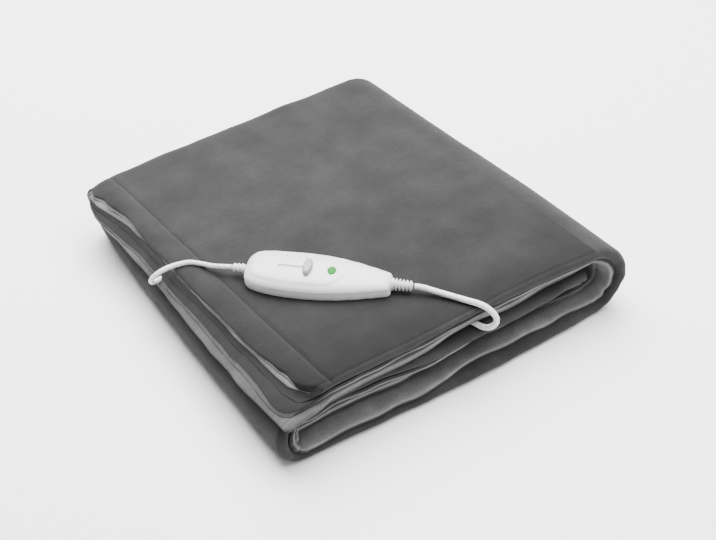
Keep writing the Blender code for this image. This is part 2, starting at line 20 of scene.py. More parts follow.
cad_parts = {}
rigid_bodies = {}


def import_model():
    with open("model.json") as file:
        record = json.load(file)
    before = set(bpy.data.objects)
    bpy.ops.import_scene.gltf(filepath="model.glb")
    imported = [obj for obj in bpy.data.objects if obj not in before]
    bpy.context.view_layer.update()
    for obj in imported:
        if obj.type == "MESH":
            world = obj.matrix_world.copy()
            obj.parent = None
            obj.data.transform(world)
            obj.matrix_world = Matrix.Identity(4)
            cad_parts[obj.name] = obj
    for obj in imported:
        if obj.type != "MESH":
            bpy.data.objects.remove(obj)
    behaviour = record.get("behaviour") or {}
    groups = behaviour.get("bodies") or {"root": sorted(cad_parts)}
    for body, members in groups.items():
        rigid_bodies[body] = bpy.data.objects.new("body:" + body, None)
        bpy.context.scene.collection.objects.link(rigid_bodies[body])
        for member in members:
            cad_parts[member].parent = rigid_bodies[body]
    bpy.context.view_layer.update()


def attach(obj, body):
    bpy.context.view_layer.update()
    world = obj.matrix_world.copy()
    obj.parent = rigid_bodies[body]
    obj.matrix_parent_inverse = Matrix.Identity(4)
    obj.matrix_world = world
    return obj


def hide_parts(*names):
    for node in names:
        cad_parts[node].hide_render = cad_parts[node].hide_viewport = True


LOG = logging.getLogger("heated_throw")

MM = 0.001
# The point of the drawing that the part's origin lies on.
MIDDLE = np.array([-2.8, -3.77, 0.0])
THROW = "throw"
SLIDER = "slider"
# How many layers of cloth lie in a packet.
LAYERS = 4
# How far a table's readings are eased towards its rows: 0 reads it on straight lines.
EASE = 0.5
# Points on a smooth curve between two of the points that it goes through.
CURVE_STEPS = 16

Point = tuple[float, float, float]
Numbers = float | np.ndarray


# ---- numbers ----------------------------------------------------------------------------


def part_points(points: np.ndarray) -> np.ndarray:
    """Brings points of the drawing, in mm, into the part's frame, in metres.

    Args:
        points: an array whose last axis is x, y, z.
    Returns:
        The same points in metres, measured from the part's origin.
    """
    return (np.asarray(points, float) - MIDDLE) * MM


def smooth(value: Numbers) -> Numbers:
    """A soft step from 0 to 1 over values from 0 to 1."""
    held = np.clip(value, 0.0, 1.0)
    return held * held * (3.0 - 2.0 * held)


def mix(low: Numbers, high: Numbers, share: Numbers) -> Numbers:
    """The value that share of the way from low to high."""
    return low + (high - low) * share


def read_rows(rows: tuple[tuple[float, ...], ...], places: np.ndarray) -> np.ndarray:
    """Reads every column of a table at places in its first column, on smooth curves.

    Args:
        rows: the table's rows, sorted by their first number.
        places: where to read it.
    Returns:
        An array with one row a place and one column a table column, the first one left out.
    """
    table = np.array(rows, float)
    at = np.clip(places, table[0, 0], table[-1, 0])
    low = np.clip(np.searchsorted(table[:, 0], at, side="right") - 1, 0, len(table) - 2)
    share = (at - table[low, 0]) / (table[low + 1, 0] - table[low, 0])
    eased = mix(share, smooth(share), EASE)
    return mix(table[low, 1:], table[low + 1, 1:], eased[:, None])


def parted(count: int) -> np.ndarray:
    """Shares at which a number of points part a span evenly, its own ends left out."""
    return np.linspace(0.0, 1.0, count + 2)[1:-1]


def at_both_ends(values: np.ndarray, count: int, rest: float) -> np.ndarray:
    """A string of numbers that starts with some values and ends with them mirrored.

    Args:
        values: the first numbers, from the end inward.
        count: how many numbers the string has.
        rest: the number in between.
    Returns:
        The string.
    """
    row = np.full(count, rest)
    row[:len(values)] = values
    row[-len(values):] = values[::-1]
    return row


def run_along(line: np.ndarray) -> np.ndarray:
    """How far along a line each of its points lies."""
    steps = np.linalg.norm(np.diff(line, axis=0), axis=1)
    return np.concatenate([[0.0], np.cumsum(steps)])


def through(points: list[Point], step: float) -> np.ndarray:
    """Evenly spaced points on the smooth curve through some points.

    Args:
        points: the points that the curve goes through.
        step: about how far apart the found points lie, in the same unit.
    Returns:
        An array of points, the first and last of which are the curve's ends.
    """
    knots = np.array(points, float)
    knots = np.vstack([2 * knots[0] - knots[1], knots, 2 * knots[-1] - knots[-2]])
    fine = []
    for a, b, c, d in zip(knots, knots[1:], knots[2:], knots[3:]):
        for t in np.linspace(0.0, 1.0, CURVE_STEPS, endpoint=False):
            fine.append(0.5 * (2 * b + (c - a) * t + (2 * a - 5 * b + 4 * c - d) * t ** 2
                               + (3 * b - a - 3 * c + d) * t ** 3))
    fine.append(knots[-2])
    return respaced(np.array(fine), step)


def respaced(line: np.ndarray, step: float) -> np.ndarray:
    """The same line with points about one step apart."""
    run = run_along(line)
    count = max(2, round(run[-1] / step))
    at = np.linspace(0.0, run[-1], count + 1)
    return np.stack([np.interp(at, run, line[:, k]) for k in range(3)], axis=1)


@dataclass(frozen=True)
class Ripple:
    """A seeded sum of plane waves: the slow, uneven rise and fall of soft cloth."""

    seed: int
    shortest: float
    longest: float
    count: int = 14

    def at(self, x: np.ndarray, y: np.ndarray) -> np.ndarray:
        """The height of the ripple, about -1 to 1, at places in mm."""
        draw = np.random.default_rng(self.seed)
        total = np.zeros(np.broadcast(x, y).shape)
        for _ in range(self.count):
            length = math.exp(draw.uniform(math.log(self.shortest), math.log(self.longest)))
            angle = draw.uniform(0.0, math.pi)
            phase = draw.uniform(0.0, 2.0 * math.pi)
            along = x * math.cos(angle) + y * math.sin(angle)
            total = total + np.sin(2.0 * math.pi * along / length + phase)
        return total / math.sqrt(self.count)


# ---- colours and finishes ---------------------------------------------------------------


def linear(code: str) -> tuple[float, float, float, float]:
    """Turns an sRGB hex colour, such as "4a4a4c", into the linear one a shader takes."""
    parts = [int(code[k:k + 2], 16) / 255.0 for k in (0, 2, 4)]
    found = [p / 12.92 if p <= 0.04045 else ((p + 0.055) / 1.055) ** 2.4 for p in parts]
    return (found[0], found[1], found[2], 1.0)


def add_node(tree: bpy.types.NodeTree, kind: str, settings: dict, links: dict) -> bpy.types.Node:
    """Adds one node to a tree.

    Args:
        tree: a material's or a modifier's node tree.
        kind: the node's type name.
        settings: attribute names, or input names or indices, with the values that they get.
        links: input names or indices with the output sockets that feed them.
    Returns:
        The new node.
    """
    node = tree.nodes.new(kind)
    for key, value in settings.items():
        if isinstance(key, str) and hasattr(node, key):
            setattr(node, key, value)
        else:
            node.inputs[key].default_value = value
    for key, socket in links.items():
        tree.links.new(socket, node.inputs[key])
    return node


def new_material(name: str) -> tuple[bpy.types.Material, bpy.types.Node]:
    """A node material with an untouched Principled BSDF, and that shader."""
    made = bpy.data.materials.new(name)
    made.use_nodes = True
    return made, made.node_tree.nodes["Principled BSDF"]


def roughen(made: bpy.types.Material, size: float, strength: float, depth: float) -> None:
    """Gives a material's surface a fine uneven relief, on Object coordinates.

    Args:
        made: the material.
        size: the real size of its grains, in mm.
        strength: how strongly the relief turns the light, from 0 to 1.
        depth: its real depth, in mm.
    """
    tree = made.node_tree
    place = add_node(tree, "ShaderNodeTexCoord", {}, {}).outputs["Object"]
    grains = add_node(tree, "ShaderNodeTexNoise", {"Scale": 1.0 / (size * MM), "Detail": 2.0},
                      {"Vector": place})
    relief = add_node(tree, "ShaderNodeBump", {"Strength": strength, "Distance": depth * MM},
                      {"Height": grains.outputs[0]})
    tree.links.new(relief.outputs["Normal"], tree.nodes["Principled BSDF"].inputs["Normal"])


@dataclass(frozen=True)
class Fleece:
    """Brushed polyester fleece with a short dense pile, knitted and then raised.

    The pile scatters light at all angles, so the cloth looks soft and dry, a little lighter
    where it is seen at a slant, with clouds where the pile was stroked one way or the other.
    """

    name: str
    ground: str
    bright: str
    shade: str
    sheen: float
    # Real sizes in mm: a stroked patch, a tuft of pile, and the knit's own grain.
    patch: float = 46.0
    tuft: float = 2.6
    grain: float = 1.1

    def material(self) -> bpy.types.Material:
        """Builds the shader: clouds, streaks of the nap and tufts, all on the cloth's own UV."""
        made, shader = new_material(self.name)
        tree = made.node_tree
        place = add_node(tree, "ShaderNodeUVMap", {"uv_map": "cloth"}, {}).outputs["UV"]
        clouds = add_node(tree, "ShaderNodeTexNoise",
                          {"Scale": 1.0 / (self.patch * MM), "Detail": 3.0, "Roughness": 0.55},
                          {"Vector": place})
        # The nap lies along the cloth, so its streaks are four times as long as they are wide.
        nap_and_painted_light = add_node(tree, "ShaderNodeMapping", {"Scale": (1.0, 4.0, 1.0)}, {"Vector": place})
        streaks = add_node(tree, "ShaderNodeTexNoise",
                           {"Scale": 1.0 / (4.0 * self.tuft * MM), "Detail": 2.0},
                           {"Vector": nap_and_painted_light.outputs["Vector"]})
        tufts = add_node(tree, "ShaderNodeTexNoise",
                         {"Scale": 1.0 / (self.tuft * MM), "Detail": 4.0, "Roughness": 0.7},
                         {"Vector": place})
        grain = add_node(tree, "ShaderNodeTexNoise",
                         {"Scale": 1.0 / (self.grain * MM), "Detail": 2.0, "Roughness": 0.6},
                         {"Vector": place})
        soft = add_node(tree, "ShaderNodeMix", {"data_type": "FLOAT", "Factor": 0.2},
                        {2: clouds.outputs[0], 3: streaks.outputs[0]})
        mixed = add_node(tree, "ShaderNodeMix", {"data_type": "FLOAT", "Factor": 0.34},
                         {2: soft.outputs[0], 3: tufts.outputs[0]})
        ramp = add_node(tree, "ShaderNodeValToRGB", {}, {"Fac": mixed.outputs[0]})
        ramp.color_ramp.elements[0].position = 0.36
        ramp.color_ramp.elements[0].color = linear(self.shade)
        ramp.color_ramp.elements[1].position = 0.64
        ramp.color_ramp.elements[1].color = linear(self.bright)
        middle = ramp.color_ramp.elements.new(0.5)
        middle.color = linear(self.ground)
        pile = add_node(tree, "ShaderNodeMix", {"data_type": "FLOAT", "Factor": 0.5},
                        {2: tufts.outputs[0], 3: grain.outputs[0]})
        relief = add_node(tree, "ShaderNodeBump", {"Strength": 0.55, "Distance": 0.9 * MM},
                          {"Height": pile.outputs[0]})
        # Painted light and shade, read from the panel's attribute, with the lighter raw edges.
        raw_edges_and_painted_light = add_node(tree, "ShaderNodeAttribute", {"attribute_name": "raw_edges_and_painted_light"}, {})
        toned = add_node(tree, "ShaderNodeVectorMath", {"operation": "SCALE"},
                         {0: ramp.outputs["Color"], "Scale": raw_edges_and_painted_light.outputs["Fac"]})
        tree.links.new(toned.outputs[0], shader.inputs["Base Color"])
        tree.links.new(relief.outputs["Normal"], shader.inputs["Normal"])
        shader.inputs["Roughness"].default_value = 0.95
        shader.inputs["Specular IOR Level"].default_value = 0.15
        shader.inputs["Sheen Weight"].default_value = self.sheen
        shader.inputs["Sheen Roughness"].default_value = 0.55
        shader.inputs["Sheen Tint"].default_value = linear("d8d8da")
        return made


@dataclass(frozen=True)
class Moulded:
    """Injection-moulded ABS or flexible PVC with a fine spark-eroded satin skin.

    It gives the eye a clean, slightly soft highlight, broken by a very fine orange peel.
    """

    name: str
    colour: str
    shade: str
    roughness: float
    # Real sizes in mm: a cloud of the other shade, and the peel's grains and depth.
    cloud: float = 38.0
    peel: float = 0.6
    depth: float = 0.05

    def material(self) -> bpy.types.Material:
        """Builds the shader on Object coordinates."""
        made, shader = new_material(self.name)
        tree = made.node_tree
        place = add_node(tree, "ShaderNodeTexCoord", {}, {}).outputs["Object"]
        clouds = add_node(tree, "ShaderNodeTexNoise",
                          {"Scale": 1.0 / (self.cloud * MM), "Detail": 1.0}, {"Vector": place})
        ramp = add_node(tree, "ShaderNodeValToRGB", {}, {"Fac": clouds.outputs[0]})
        ramp.color_ramp.elements[0].position = 0.3
        ramp.color_ramp.elements[0].color = linear(self.shade)
        ramp.color_ramp.elements[1].position = 0.7
        ramp.color_ramp.elements[1].color = linear(self.colour)
        tree.links.new(ramp.outputs["Color"], shader.inputs["Base Color"])
        roughen(made, self.peel, 0.2, self.depth)
        shader.inputs["Roughness"].default_value = self.roughness
        shader.inputs["IOR"].default_value = 1.53
        return made


@dataclass(frozen=True)
class TwistedPvc:
    """Extruded PVC sheath over twisted cores, which show as faint slanting bands."""

    name: str
    colour: str
    shade: str
    lay: float

    def material(self) -> bpy.types.Material:
        """Builds the shader on the lead's own UV: metres along it, and turns around it."""
        made, shader = new_material(self.name)
        tree = made.node_tree
        place = add_node(tree, "ShaderNodeUVMap", {"uv_map": "lead"}, {}).outputs["UV"]
        apart = add_node(tree, "ShaderNodeSeparateXYZ", {}, {"Vector": place})
        along = add_node(tree, "ShaderNodeMath",
                         {"operation": "MULTIPLY", 1: 1.0 / (self.lay * MM)},
                         {0: apart.outputs["X"]})
        both = add_node(tree, "ShaderNodeMath", {"operation": "ADD"},
                        {0: along.outputs[0], 1: apart.outputs["Y"]})
        turns = add_node(tree, "ShaderNodeMath", {"operation": "MULTIPLY", 1: 4.0 * math.pi},
                         {0: both.outputs[0]})
        wave = add_node(tree, "ShaderNodeMath", {"operation": "SINE"}, {0: turns.outputs[0]})
        share = add_node(tree, "ShaderNodeMapRange", {"From Min": -1.0, "From Max": 1.0},
                         {"Value": wave.outputs[0]})
        ramp = add_node(tree, "ShaderNodeValToRGB", {}, {"Fac": share.outputs[0]})
        ramp.color_ramp.elements[0].color = linear(self.shade)
        ramp.color_ramp.elements[1].color = linear(self.colour)
        relief = add_node(tree, "ShaderNodeBump", {"Strength": 0.4, "Distance": 0.2 * MM},
                          {"Height": share.outputs[0]})
        tree.links.new(ramp.outputs["Color"], shader.inputs["Base Color"])
        tree.links.new(relief.outputs["Normal"], shader.inputs["Normal"])
        shader.inputs["Roughness"].default_value = 0.42
        shader.inputs["IOR"].default_value = 1.53
        return made


@dataclass(frozen=True)
class LitLens:
    """Clear green acrylic with a small lamp behind it: bright in the middle, deep at the rim."""

    name: str = "green_acrylic"

    def material(self) -> bpy.types.Material:
        """Builds the shader, with a little glow of its own."""
        made, shader = new_material(self.name)
        tree = made.node_tree
        rim = add_node(tree, "ShaderNodeLayerWeight", {"Blend": 0.35}, {})
        ramp = add_node(tree, "ShaderNodeValToRGB", {}, {"Fac": rim.outputs["Facing"]})
        ramp.color_ramp.elements[0].color = linear("04601a")
        ramp.color_ramp.elements[1].color = linear("034412")
        tree.links.new(ramp.outputs["Color"], shader.inputs["Base Color"])
        shader.inputs["Emission Color"].default_value = linear("00f03c")
        shader.inputs["Emission Strength"].default_value = 0.3
        shader.inputs["Roughness"].default_value = 0.55
        shader.inputs["Specular IOR Level"].default_value = 0.2
        shader.inputs["IOR"].default_value = 1.49
        return made


@dataclass(frozen=True)
class Nickel:
    """Nickel-plated brass, turned: a warm grey mirror, dulled by fine tool marks."""

    name: str = "nickel_plated_brass"

    def material(self) -> bpy.types.Material:
        """Builds the shader, with its fine tool marks as a relief."""
        made, shader = new_material(self.name)
        roughen(made, 0.4, 0.1, 0.02)
        shader.inputs["Base Color"].default_value = linear("c9c4ba")
        shader.inputs["Metallic"].default_value = 1.0
        shader.inputs["Roughness"].default_value = 0.28
        return made


@dataclass(frozen=True)
class Thread:
    """Spun polyester sewing thread sunk into the cloth; its dark is partly painted shade."""

    name: str = "spun_polyester_thread"
    # darker than the dark fleece: partly its own colour, partly painted shade of the seam's groove
    colour: str = "0e0e10"

    def material(self) -> bpy.types.Material:
        """Builds the shader, with the thread's twist as a fine relief."""
        made, shader = new_material(self.name)
        roughen(made, 0.5, 0.4, 0.15)
        shader.inputs["Base Color"].default_value = linear(self.colour)
        shader.inputs["Roughness"].default_value = 0.9
        shader.inputs["Specular IOR Level"].default_value = 0.1
        return made


# ---- meshes -----------------------------------------------------------------------------


def placed(name: str, data: bpy.types.ID) -> bpy.types.Object:
    """A new object for a mesh, a camera or a light, linked to the scene."""
    made = bpy.data.objects.new(name, data)
    bpy.context.scene.collection.objects.link(made)
    return made


def mesh_piece(name: str, points: np.ndarray, faces: list[tuple[int, ...]],
               finish: bpy.types.Material, sharp: float = 40.0) -> bpy.types.Object:
    """Makes a smooth-shaded object from points in metres.

    Args:
        name: the piece's name.
        points: its vertices, in the part's frame.
        faces: vertex numbers of each face.
        finish: its material.
        sharp: edges that turn by more than this many degrees stay sharp.
    Returns:
        The new object, linked to the scene.
    """
    mesh = bpy.data.meshes.new(name)
    mesh.from_pydata(np.asarray(points).tolist(), [], faces)
    mesh.materials.append(finish)
    mesh.shade_smooth()
    mesh.set_sharp_from_angle(angle=math.radians(sharp))
    mesh.update()
    return placed(name, mesh)


def grid_faces(rows: int, columns: int, start: int = 0, flip: bool = False,
               around: bool = False) -> list[tuple[int, ...]]:
    """The four-sided faces of a grid of points, stored row by row.

    Args:
        rows: how many rows of points there are.
        columns: how many points a row has.
        start: the first point's number.
        flip: turns the faces over.
        around: joins each row's last point to its first.
    Returns:
        The faces' vertex numbers.
    """
    faces = []
    for row in range(rows - 1):
        low = start + row * columns
        high = low + columns
        for k in range(columns if around else columns - 1):
            after = (k + 1) % columns
            face = (low + k, low + after, high + after, high + k)
            faces.append(face[::-1] if flip else face)
    return faces


def closed_faces(rings: int, points: int, flip: bool = False) -> list[tuple[int, ...]]:
    """The faces of a stack of rings, with a cap over the first one and over the last.

    Args:
        rings: how many rings there are.
        points: how many points a ring has.
        flip: turns the faces over.
    Returns:
        The faces' vertex numbers.
    """
    first = tuple(range(points))
    last = tuple(range((rings - 1) * points, rings * points))
    caps = [first, last[::-1]] if flip else [first[::-1], last]
    return grid_faces(rings, points, flip=flip, around=True) + caps


def set_uv(mesh: bpy.types.Mesh, name: str, places: np.ndarray) -> None:
    """Gives a mesh a UV map from one place a vertex."""
    layer = mesh.uv_layers.new(name=name)
    corner = np.zeros(len(mesh.loops), np.int32)
    mesh.loops.foreach_get("vertex_index", corner)
    layer.data.foreach_set("uv", places[corner].astype(np.float32).ravel())


def baked(source: bpy.types.Object, name: str) -> bpy.types.Object:
    """Turns an object and its modifiers into a plain mesh object, and removes the old one."""
    graph = bpy.context.evaluated_depsgraph_get()
    mesh = bpy.data.meshes.new_from_object(source.evaluated_get(graph), depsgraph=graph)
    bpy.data.objects.remove(source, do_unlink=True)
    mesh.name = name
    return placed(name, mesh)


def tube_piece(name: str, line: np.ndarray, radius: float, sides: int,
               finish: bpy.types.Material) -> bpy.types.Object:
    """A round closed tube along a line, with a UV map of metres along it and turns around it."""
    count = len(line)
    ways = np.gradient(line, axis=0)
    ways /= np.linalg.norm(ways, axis=1)[:, None]
    side = np.cross(ways[0], (0.0, 0.0, 1.0))
    sides_of = []
    for way in ways:
        side = side - way * np.dot(side, way)
        side /= np.linalg.norm(side)
        sides_of.append(side)
    across = np.array(sides_of)
    up = np.cross(across, ways)
    turn = np.linspace(0.0, 2.0 * math.pi, sides, endpoint=False)
    rings = (line[:, None, :] + radius * (np.cos(turn)[None, :, None] * across[:, None, :]
                                          + np.sin(turn)[None, :, None] * up[:, None, :]))
    made = mesh_piece(name, rings.reshape(-1, 3), closed_faces(count, sides, flip=True), finish,
                      sharp=60.0)
    around = np.tile(turn / (2.0 * math.pi), count)
    set_uv(made.data, "lead", np.stack([np.repeat(run_along(line), sides), around], axis=1))
    return made


class NodeTool:
    """A Geometry Nodes tree built in the script, with named inputs and one material."""

    def __init__(self, name: str) -> None:
        """Starts a tree that takes geometry and a material, and gives geometry."""
        self.tree = bpy.data.node_groups.new(name, "GeometryNodeTree")
        self.tree.interface.new_socket("Geometry", in_out="INPUT",
                                       socket_type="NodeSocketGeometry")
        self.tree.interface.new_socket("Geometry", in_out="OUTPUT",
                                       socket_type="NodeSocketGeometry")
        self.start = self.tree.nodes.new("NodeGroupInput")
        self.keys: dict[str, str] = {}
        self.take("NodeSocketMaterial", "Material")

    def take(self, kind: str, *names: str) -> None:
        """Adds named inputs of a socket kind, such as "NodeSocketFloat"."""
        for name in names:
            socket = self.tree.interface.new_socket(name, in_out="INPUT", socket_type=kind)
            self.keys[name] = socket.identifier

    def end(self, result: bpy.types.NodeSocket) -> None:
        """Realizes the result, gives it the tree's material, and ends the tree."""
        real = add_node(self.tree, "GeometryNodeRealizeInstances", {}, {0: result})
        dressed = add_node(self.tree, "GeometryNodeSetMaterial", {},
                           {"Geometry": real.outputs[0],
                            "Material": self.start.outputs["Material"]})
        add_node(self.tree, "NodeGroupOutput", {}, {0: dressed.outputs[0]})

    def run(self, carrier: bpy.types.Object, name: str, values: dict) -> bpy.types.Object:
        """Puts the tree on an object, and turns the result into a plain mesh object.

        Args:
            carrier: the object whose geometry the tree gets; it is used up.
            name: the new piece's name.
            values: input names with their values.
        Returns:
            The finished piece.
        """
        modifier = carrier.modifiers.new(name, "NODES")
        modifier.node_group = self.tree
        for key, value in values.items():
            modifier[self.keys[key]] = value
        made = baked(carrier, name)
        made.data.shade_smooth()
        return made


def line_mesh(name: str, line: np.ndarray) -> bpy.types.Object:
    """An object whose mesh is a string of edges along a line, to carry a node tree."""
    mesh = bpy.data.meshes.new(name)
    mesh.from_pydata(line.tolist(), [(k, k + 1) for k in range(len(line) - 1)], [])
    return placed(name, mesh)


# ---- the way the throw lies -------------------------------------------------------------


class Stretch(Enum):
    """The five stretches of the roll, in the order that the cloth runs."""

    TOP = 0
    WIDE_TURN = 1
    BOTTOM = 2
    NARROW_TURN = 3
    MIDDLE = 4


@dataclass(frozen=True)
class RollForm:
    """Where any point of the four-layer packet lies once it is rolled over in three."""

    # height of the stack at the left and at the right, near the front and far from it
    near_height: tuple[float, float] = (78.7, 83.5)
    far_height: tuple[float, float] = (69.0, 82.5)
    plan_x: tuple[float, float] = (-200.0, 200.0)
    plan_y: tuple[float, float] = (-200.0, 205.0)
    # x of the hem inside the roll, at the front and at the back
    inner_hem: tuple[float, float] = (160.0, 138.0)
    # heights of a packet and of the middle packet's top, as shares of the stack's
    packet_share: float = 0.3225
    middle_share: float = 2.0 / 3.0
    # height of the packet as its section is drawn, and half the thickness of a layer's cloth
    packet: float = 25.4
    half_cloth: float = 2.95
    # where the cloth gives way to the stored lead, and by how much; the channel leads there
    pocket_x: tuple[float, ...] = (-126.0, -104.0, 92.0, 114.0)
    pocket_y: tuple[float, ...] = (-108.0, -86.0, 52.0, 74.0)
    pocket_dent: float = 6.9
    channel_x: tuple[float, ...] = (-46.0, -12.0, 26.0, 60.0)
    channel_dent: float = 6.2
    # how freely the hem hangs past the narrow turn, and the steepest that it gets
    drape: float = 0.25
    steepest: float = 0.9
    # deep, tip of the narrow turn, tip of the wide turn
    tip_rows: tuple[tuple[float, ...], ...] = (
        (0.00, -211.5, 206.5),
        (0.10, -208.5, 206.5),
        (0.30, -203.0, 206.0),
        (0.45, -198.5, 203.5),
        (0.60, -193.0, 200.5),
        (0.75, -187.5, 198.5),
        (0.88, -181.0, 197.0),
        (1.00, -174.0, 195.5),
    )
    # across, how far the packet reaches at the front, and at the back
    reach_rows: tuple[tuple[float, ...], ...] = (
        (0.00, -198.0, 212.0),
        (0.20, -200.0, 213.0),
        (0.50, -203.0, 211.5),
        (0.70, -205.0, 208.5),
        (0.85, -206.5, 205.0),
        (1.00, -208.0, 202.0),
    )
    # y, then the hem of each layer of the top, from the outer one to the inner one
    hem_rows: tuple[tuple[float, ...], ...] = (
        (-200.0, -178.0, -180.0, -203.0, -208.0),
        (-174.0, -178.0, -181.0, -203.0, -208.0),
        (-164.0, -177.0, -182.0, -201.0, -208.0),
        (-150.0, -179.5, -183.0, -198.0, -207.5),
        (-122.0, -182.0, -183.8, -197.5, -206.5),
        (-101.0, -182.3, -183.6, -197.5, -205.0),
        (-76.0, -181.0, -182.4, -195.0, -203.0),
        (-52.0, -180.6, -181.8, -193.5, -201.0),
        (-26.0, -179.8, -181.0, -193.0, -198.5),
        (0.0, -179.4, -180.8, -191.5, -196.5),
        (40.0, -178.6, -180.4, -188.5, -193.5),
        (75.0, -177.3, -179.0, -186.5, -191.0),
        (104.0, -174.5, -175.5, -186.0, -191.0),
        (125.0, -173.0, -175.0, -187.0, -189.0),
        (150.0, -173.5, -177.5, -189.5, -188.5),
        (178.0, -174.5, -182.0, -190.0, -187.5),
        (192.0, -180.0, -184.0, -188.0, -186.0),
        (206.0, -176.0, -178.0, -180.0, -180.0),
    )
    # x, y, turn in degrees, half length, half width, height: soft folds of the top cloth
    folds: tuple[tuple[float, ...], ...] = (
        (146.0, -176.0, 35.0, 46.0, 10.0, 1.7),
        (112.0, -150.0, 38.0, 60.0, 11.0, -1.4),
        (70.0, -160.0, 30.0, 46.0, 12.0, 1.2),
        (44.0, -130.0, 40.0, 60.0, 13.0, -1.0),
        (-40.0, 60.0, 34.0, 110.0, 14.0, -0.9),
        (10.0, 20.0, 34.0, 120.0, 16.0, 0.9),
        (60.0, 90.0, 30.0, 100.0, 18.0, -0.7),
        (-90.0, 110.0, 36.0, 70.0, 12.0, 0.8),
        (-112.0, -92.0, 62.0, 50.0, 10.0, 0.8),
        (-86.0, -150.0, 70.0, 40.0, 9.0, -0.8),
        (120.0, 20.0, 24.0, 80.0, 16.0, 0.9),
    )
    # x of the straight line that the cloth behind the wavy hem keeps to, at the front and back
    straight_x: tuple[float, float] = (-180.5, -178.0)
    straight_within: float = 13.0
    # where the hand control presses the folds flat: x, y, way along, half length, half width
    pressed: tuple[float, ...] = (-81.5, -77.5, 0.684, -0.729, 84.0, 36.0)
    # how much of the hem's corner is rounded off at the front, layer by layer
    corners: tuple[float, ...] = (26.0, 24.0, 15.0, 7.0)
    # how fast a soft fold curves off its straight line, and over which share of the top, before
    # the wide turn, the folds die away
    fold_bend: float = 0.0009
    calm_share: float = 0.08
    # the slow swell of the top, the uneven hems and the loose layers inside, with their sizes;
    # each layer's hem is read from another part of the same ripple
    swell: Ripple = field(default_factory=lambda: Ripple(seed=11, shortest=55.0, longest=190.0))
    swell_size: float = 0.55
    frayed: Ripple = field(default_factory=lambda: Ripple(seed=12, shortest=32.0, longest=110.0))
    frayed_size: float = 0.8
    frayed_apart: float = 211.0
    wobble: Ripple = field(default_factory=lambda: Ripple(seed=13, shortest=24.0, longest=90.0))
    wobble_size: float = 0.8

    @property
    def layer(self) -> float:
        """The height of one layer in the packet as it is drawn."""
        return self.packet / LAYERS

    @property
    def spare(self) -> float:
        """The part of a layer's height, over and under it, that its cloth leaves free."""
        return self.layer / 2.0 - self.half_cloth

    def deep(self, y: Numbers) -> Numbers:
        """How deep y lies in the plan: 0 at the front, 1 at the back."""
        return np.clip((y - self.plan_y[0]) / (self.plan_y[1] - self.plan_y[0]), 0.0, 1.0)

    def across(self, x: Numbers) -> Numbers:
        """How far across x lies in the plan: 0 at the left, 1 at the right."""
        return np.clip((x - self.plan_x[0]) / (self.plan_x[1] - self.plan_x[0]), 0.0, 1.0)

    def height(self, x: Numbers, y: Numbers) -> Numbers:
        """The height of the stack over a point of the plan."""
        across = self.across(x)
        return mix(mix(*self.near_height, across), mix(*self.far_height, across), self.deep(y))

    @staticmethod
    def ramped(value: Numbers, corners: tuple[float, ...]) -> Numbers:
        """0 outside the outer corners, 1 between the inner ones, and soft ramps between."""
        start, low, high, end = corners
        return np.minimum(smooth((value - start) / (low - start)),
                          smooth((end - value) / (end - high)))

    def dent_below(self, x: Numbers, y: Numbers) -> Numbers:
        """How far the cloth under the stored lead gives way to it."""
        return self.pocket_dent * np.minimum(self.ramped(x, self.pocket_x),
                                             self.ramped(y, self.pocket_y))

    def dent_above(self, x: Numbers, y: Numbers) -> Numbers:
        """How far the cloth over the stored lead gives way to it."""
        channel = self.channel_dent * self.ramped(x, self.channel_x) * (y < self.pocket_y[2])
        return np.maximum(self.dent_below(x, y), channel)

    def tips(self, y: np.ndarray) -> tuple[np.ndarray, np.ndarray]:
        """The x of the narrow turn's and of the wide turn's outermost points."""
        found = read_rows(self.tip_rows, self.deep(y).ravel())
        return found[:, 0].reshape(y.shape), found[:, 1].reshape(y.shape)

    def reaches(self, x: float) -> tuple[float, float]:
        """The y that the packet reaches at the front and at the back, at a place across."""
        found = read_rows(self.reach_rows, np.atleast_1d(self.across(x)))[0]
        return float(found[0]), float(found[1])

    def centres(self, y: np.ndarray) -> tuple[np.ndarray, np.ndarray]:
        """The x of the narrow turn's and of the wide turn's middles."""
        narrow, wide = self.tips(y)
        return (narrow + self.height(narrow, y) * self.middle_share / 2.0,
                wide - self.height(wide, y) / 2.0)

    def hem_x(self, y: np.ndarray, depth: np.ndarray, fronts: np.ndarray) -> np.ndarray:
        """Where the hem of the top ends.

        Args:
            y: the points' y.
            depth: their share of the packet's depth, from 0 to 1.
            fronts: how far each layer reaches at the front, for its rounded corner.
        Returns:
            The hem's x at each point.
        """
        edges = read_rows(self.hem_rows, y.ravel())
        for layer, (radius, front) in enumerate(zip(self.corners, fronts)):
            short = np.clip(radius - (y.ravel() - front), 0.0, radius)
            edges[:, layer] += radius - np.sqrt(radius ** 2 - short ** 2)
        along = np.clip(depth.ravel() * LAYERS - 0.5, 0.0, LAYERS - 1.0)
        low = np.clip(along.astype(int), 0, LAYERS - 2)
        row = np.arange(len(low))
        found = mix(edges[row, low], edges[row, low + 1], smooth(along - low))
        frayed = self.frayed.at(np.round(along) * self.frayed_apart, y.ravel())
        return (found + self.frayed_size * frayed).reshape(y.shape)

    def sag(self, x: np.ndarray, y: np.ndarray) -> np.ndarray:
        """How far the hem hangs where it reaches past the middle of the narrow turn."""
        narrow, _ = self.tips(y)
        radius = self.height(narrow, y) * self.middle_share / 2.0
        past = np.clip(narrow + radius - x, 0.0, self.steepest * radius)
        return self.drape * (radius - np.sqrt(radius ** 2 - past ** 2))

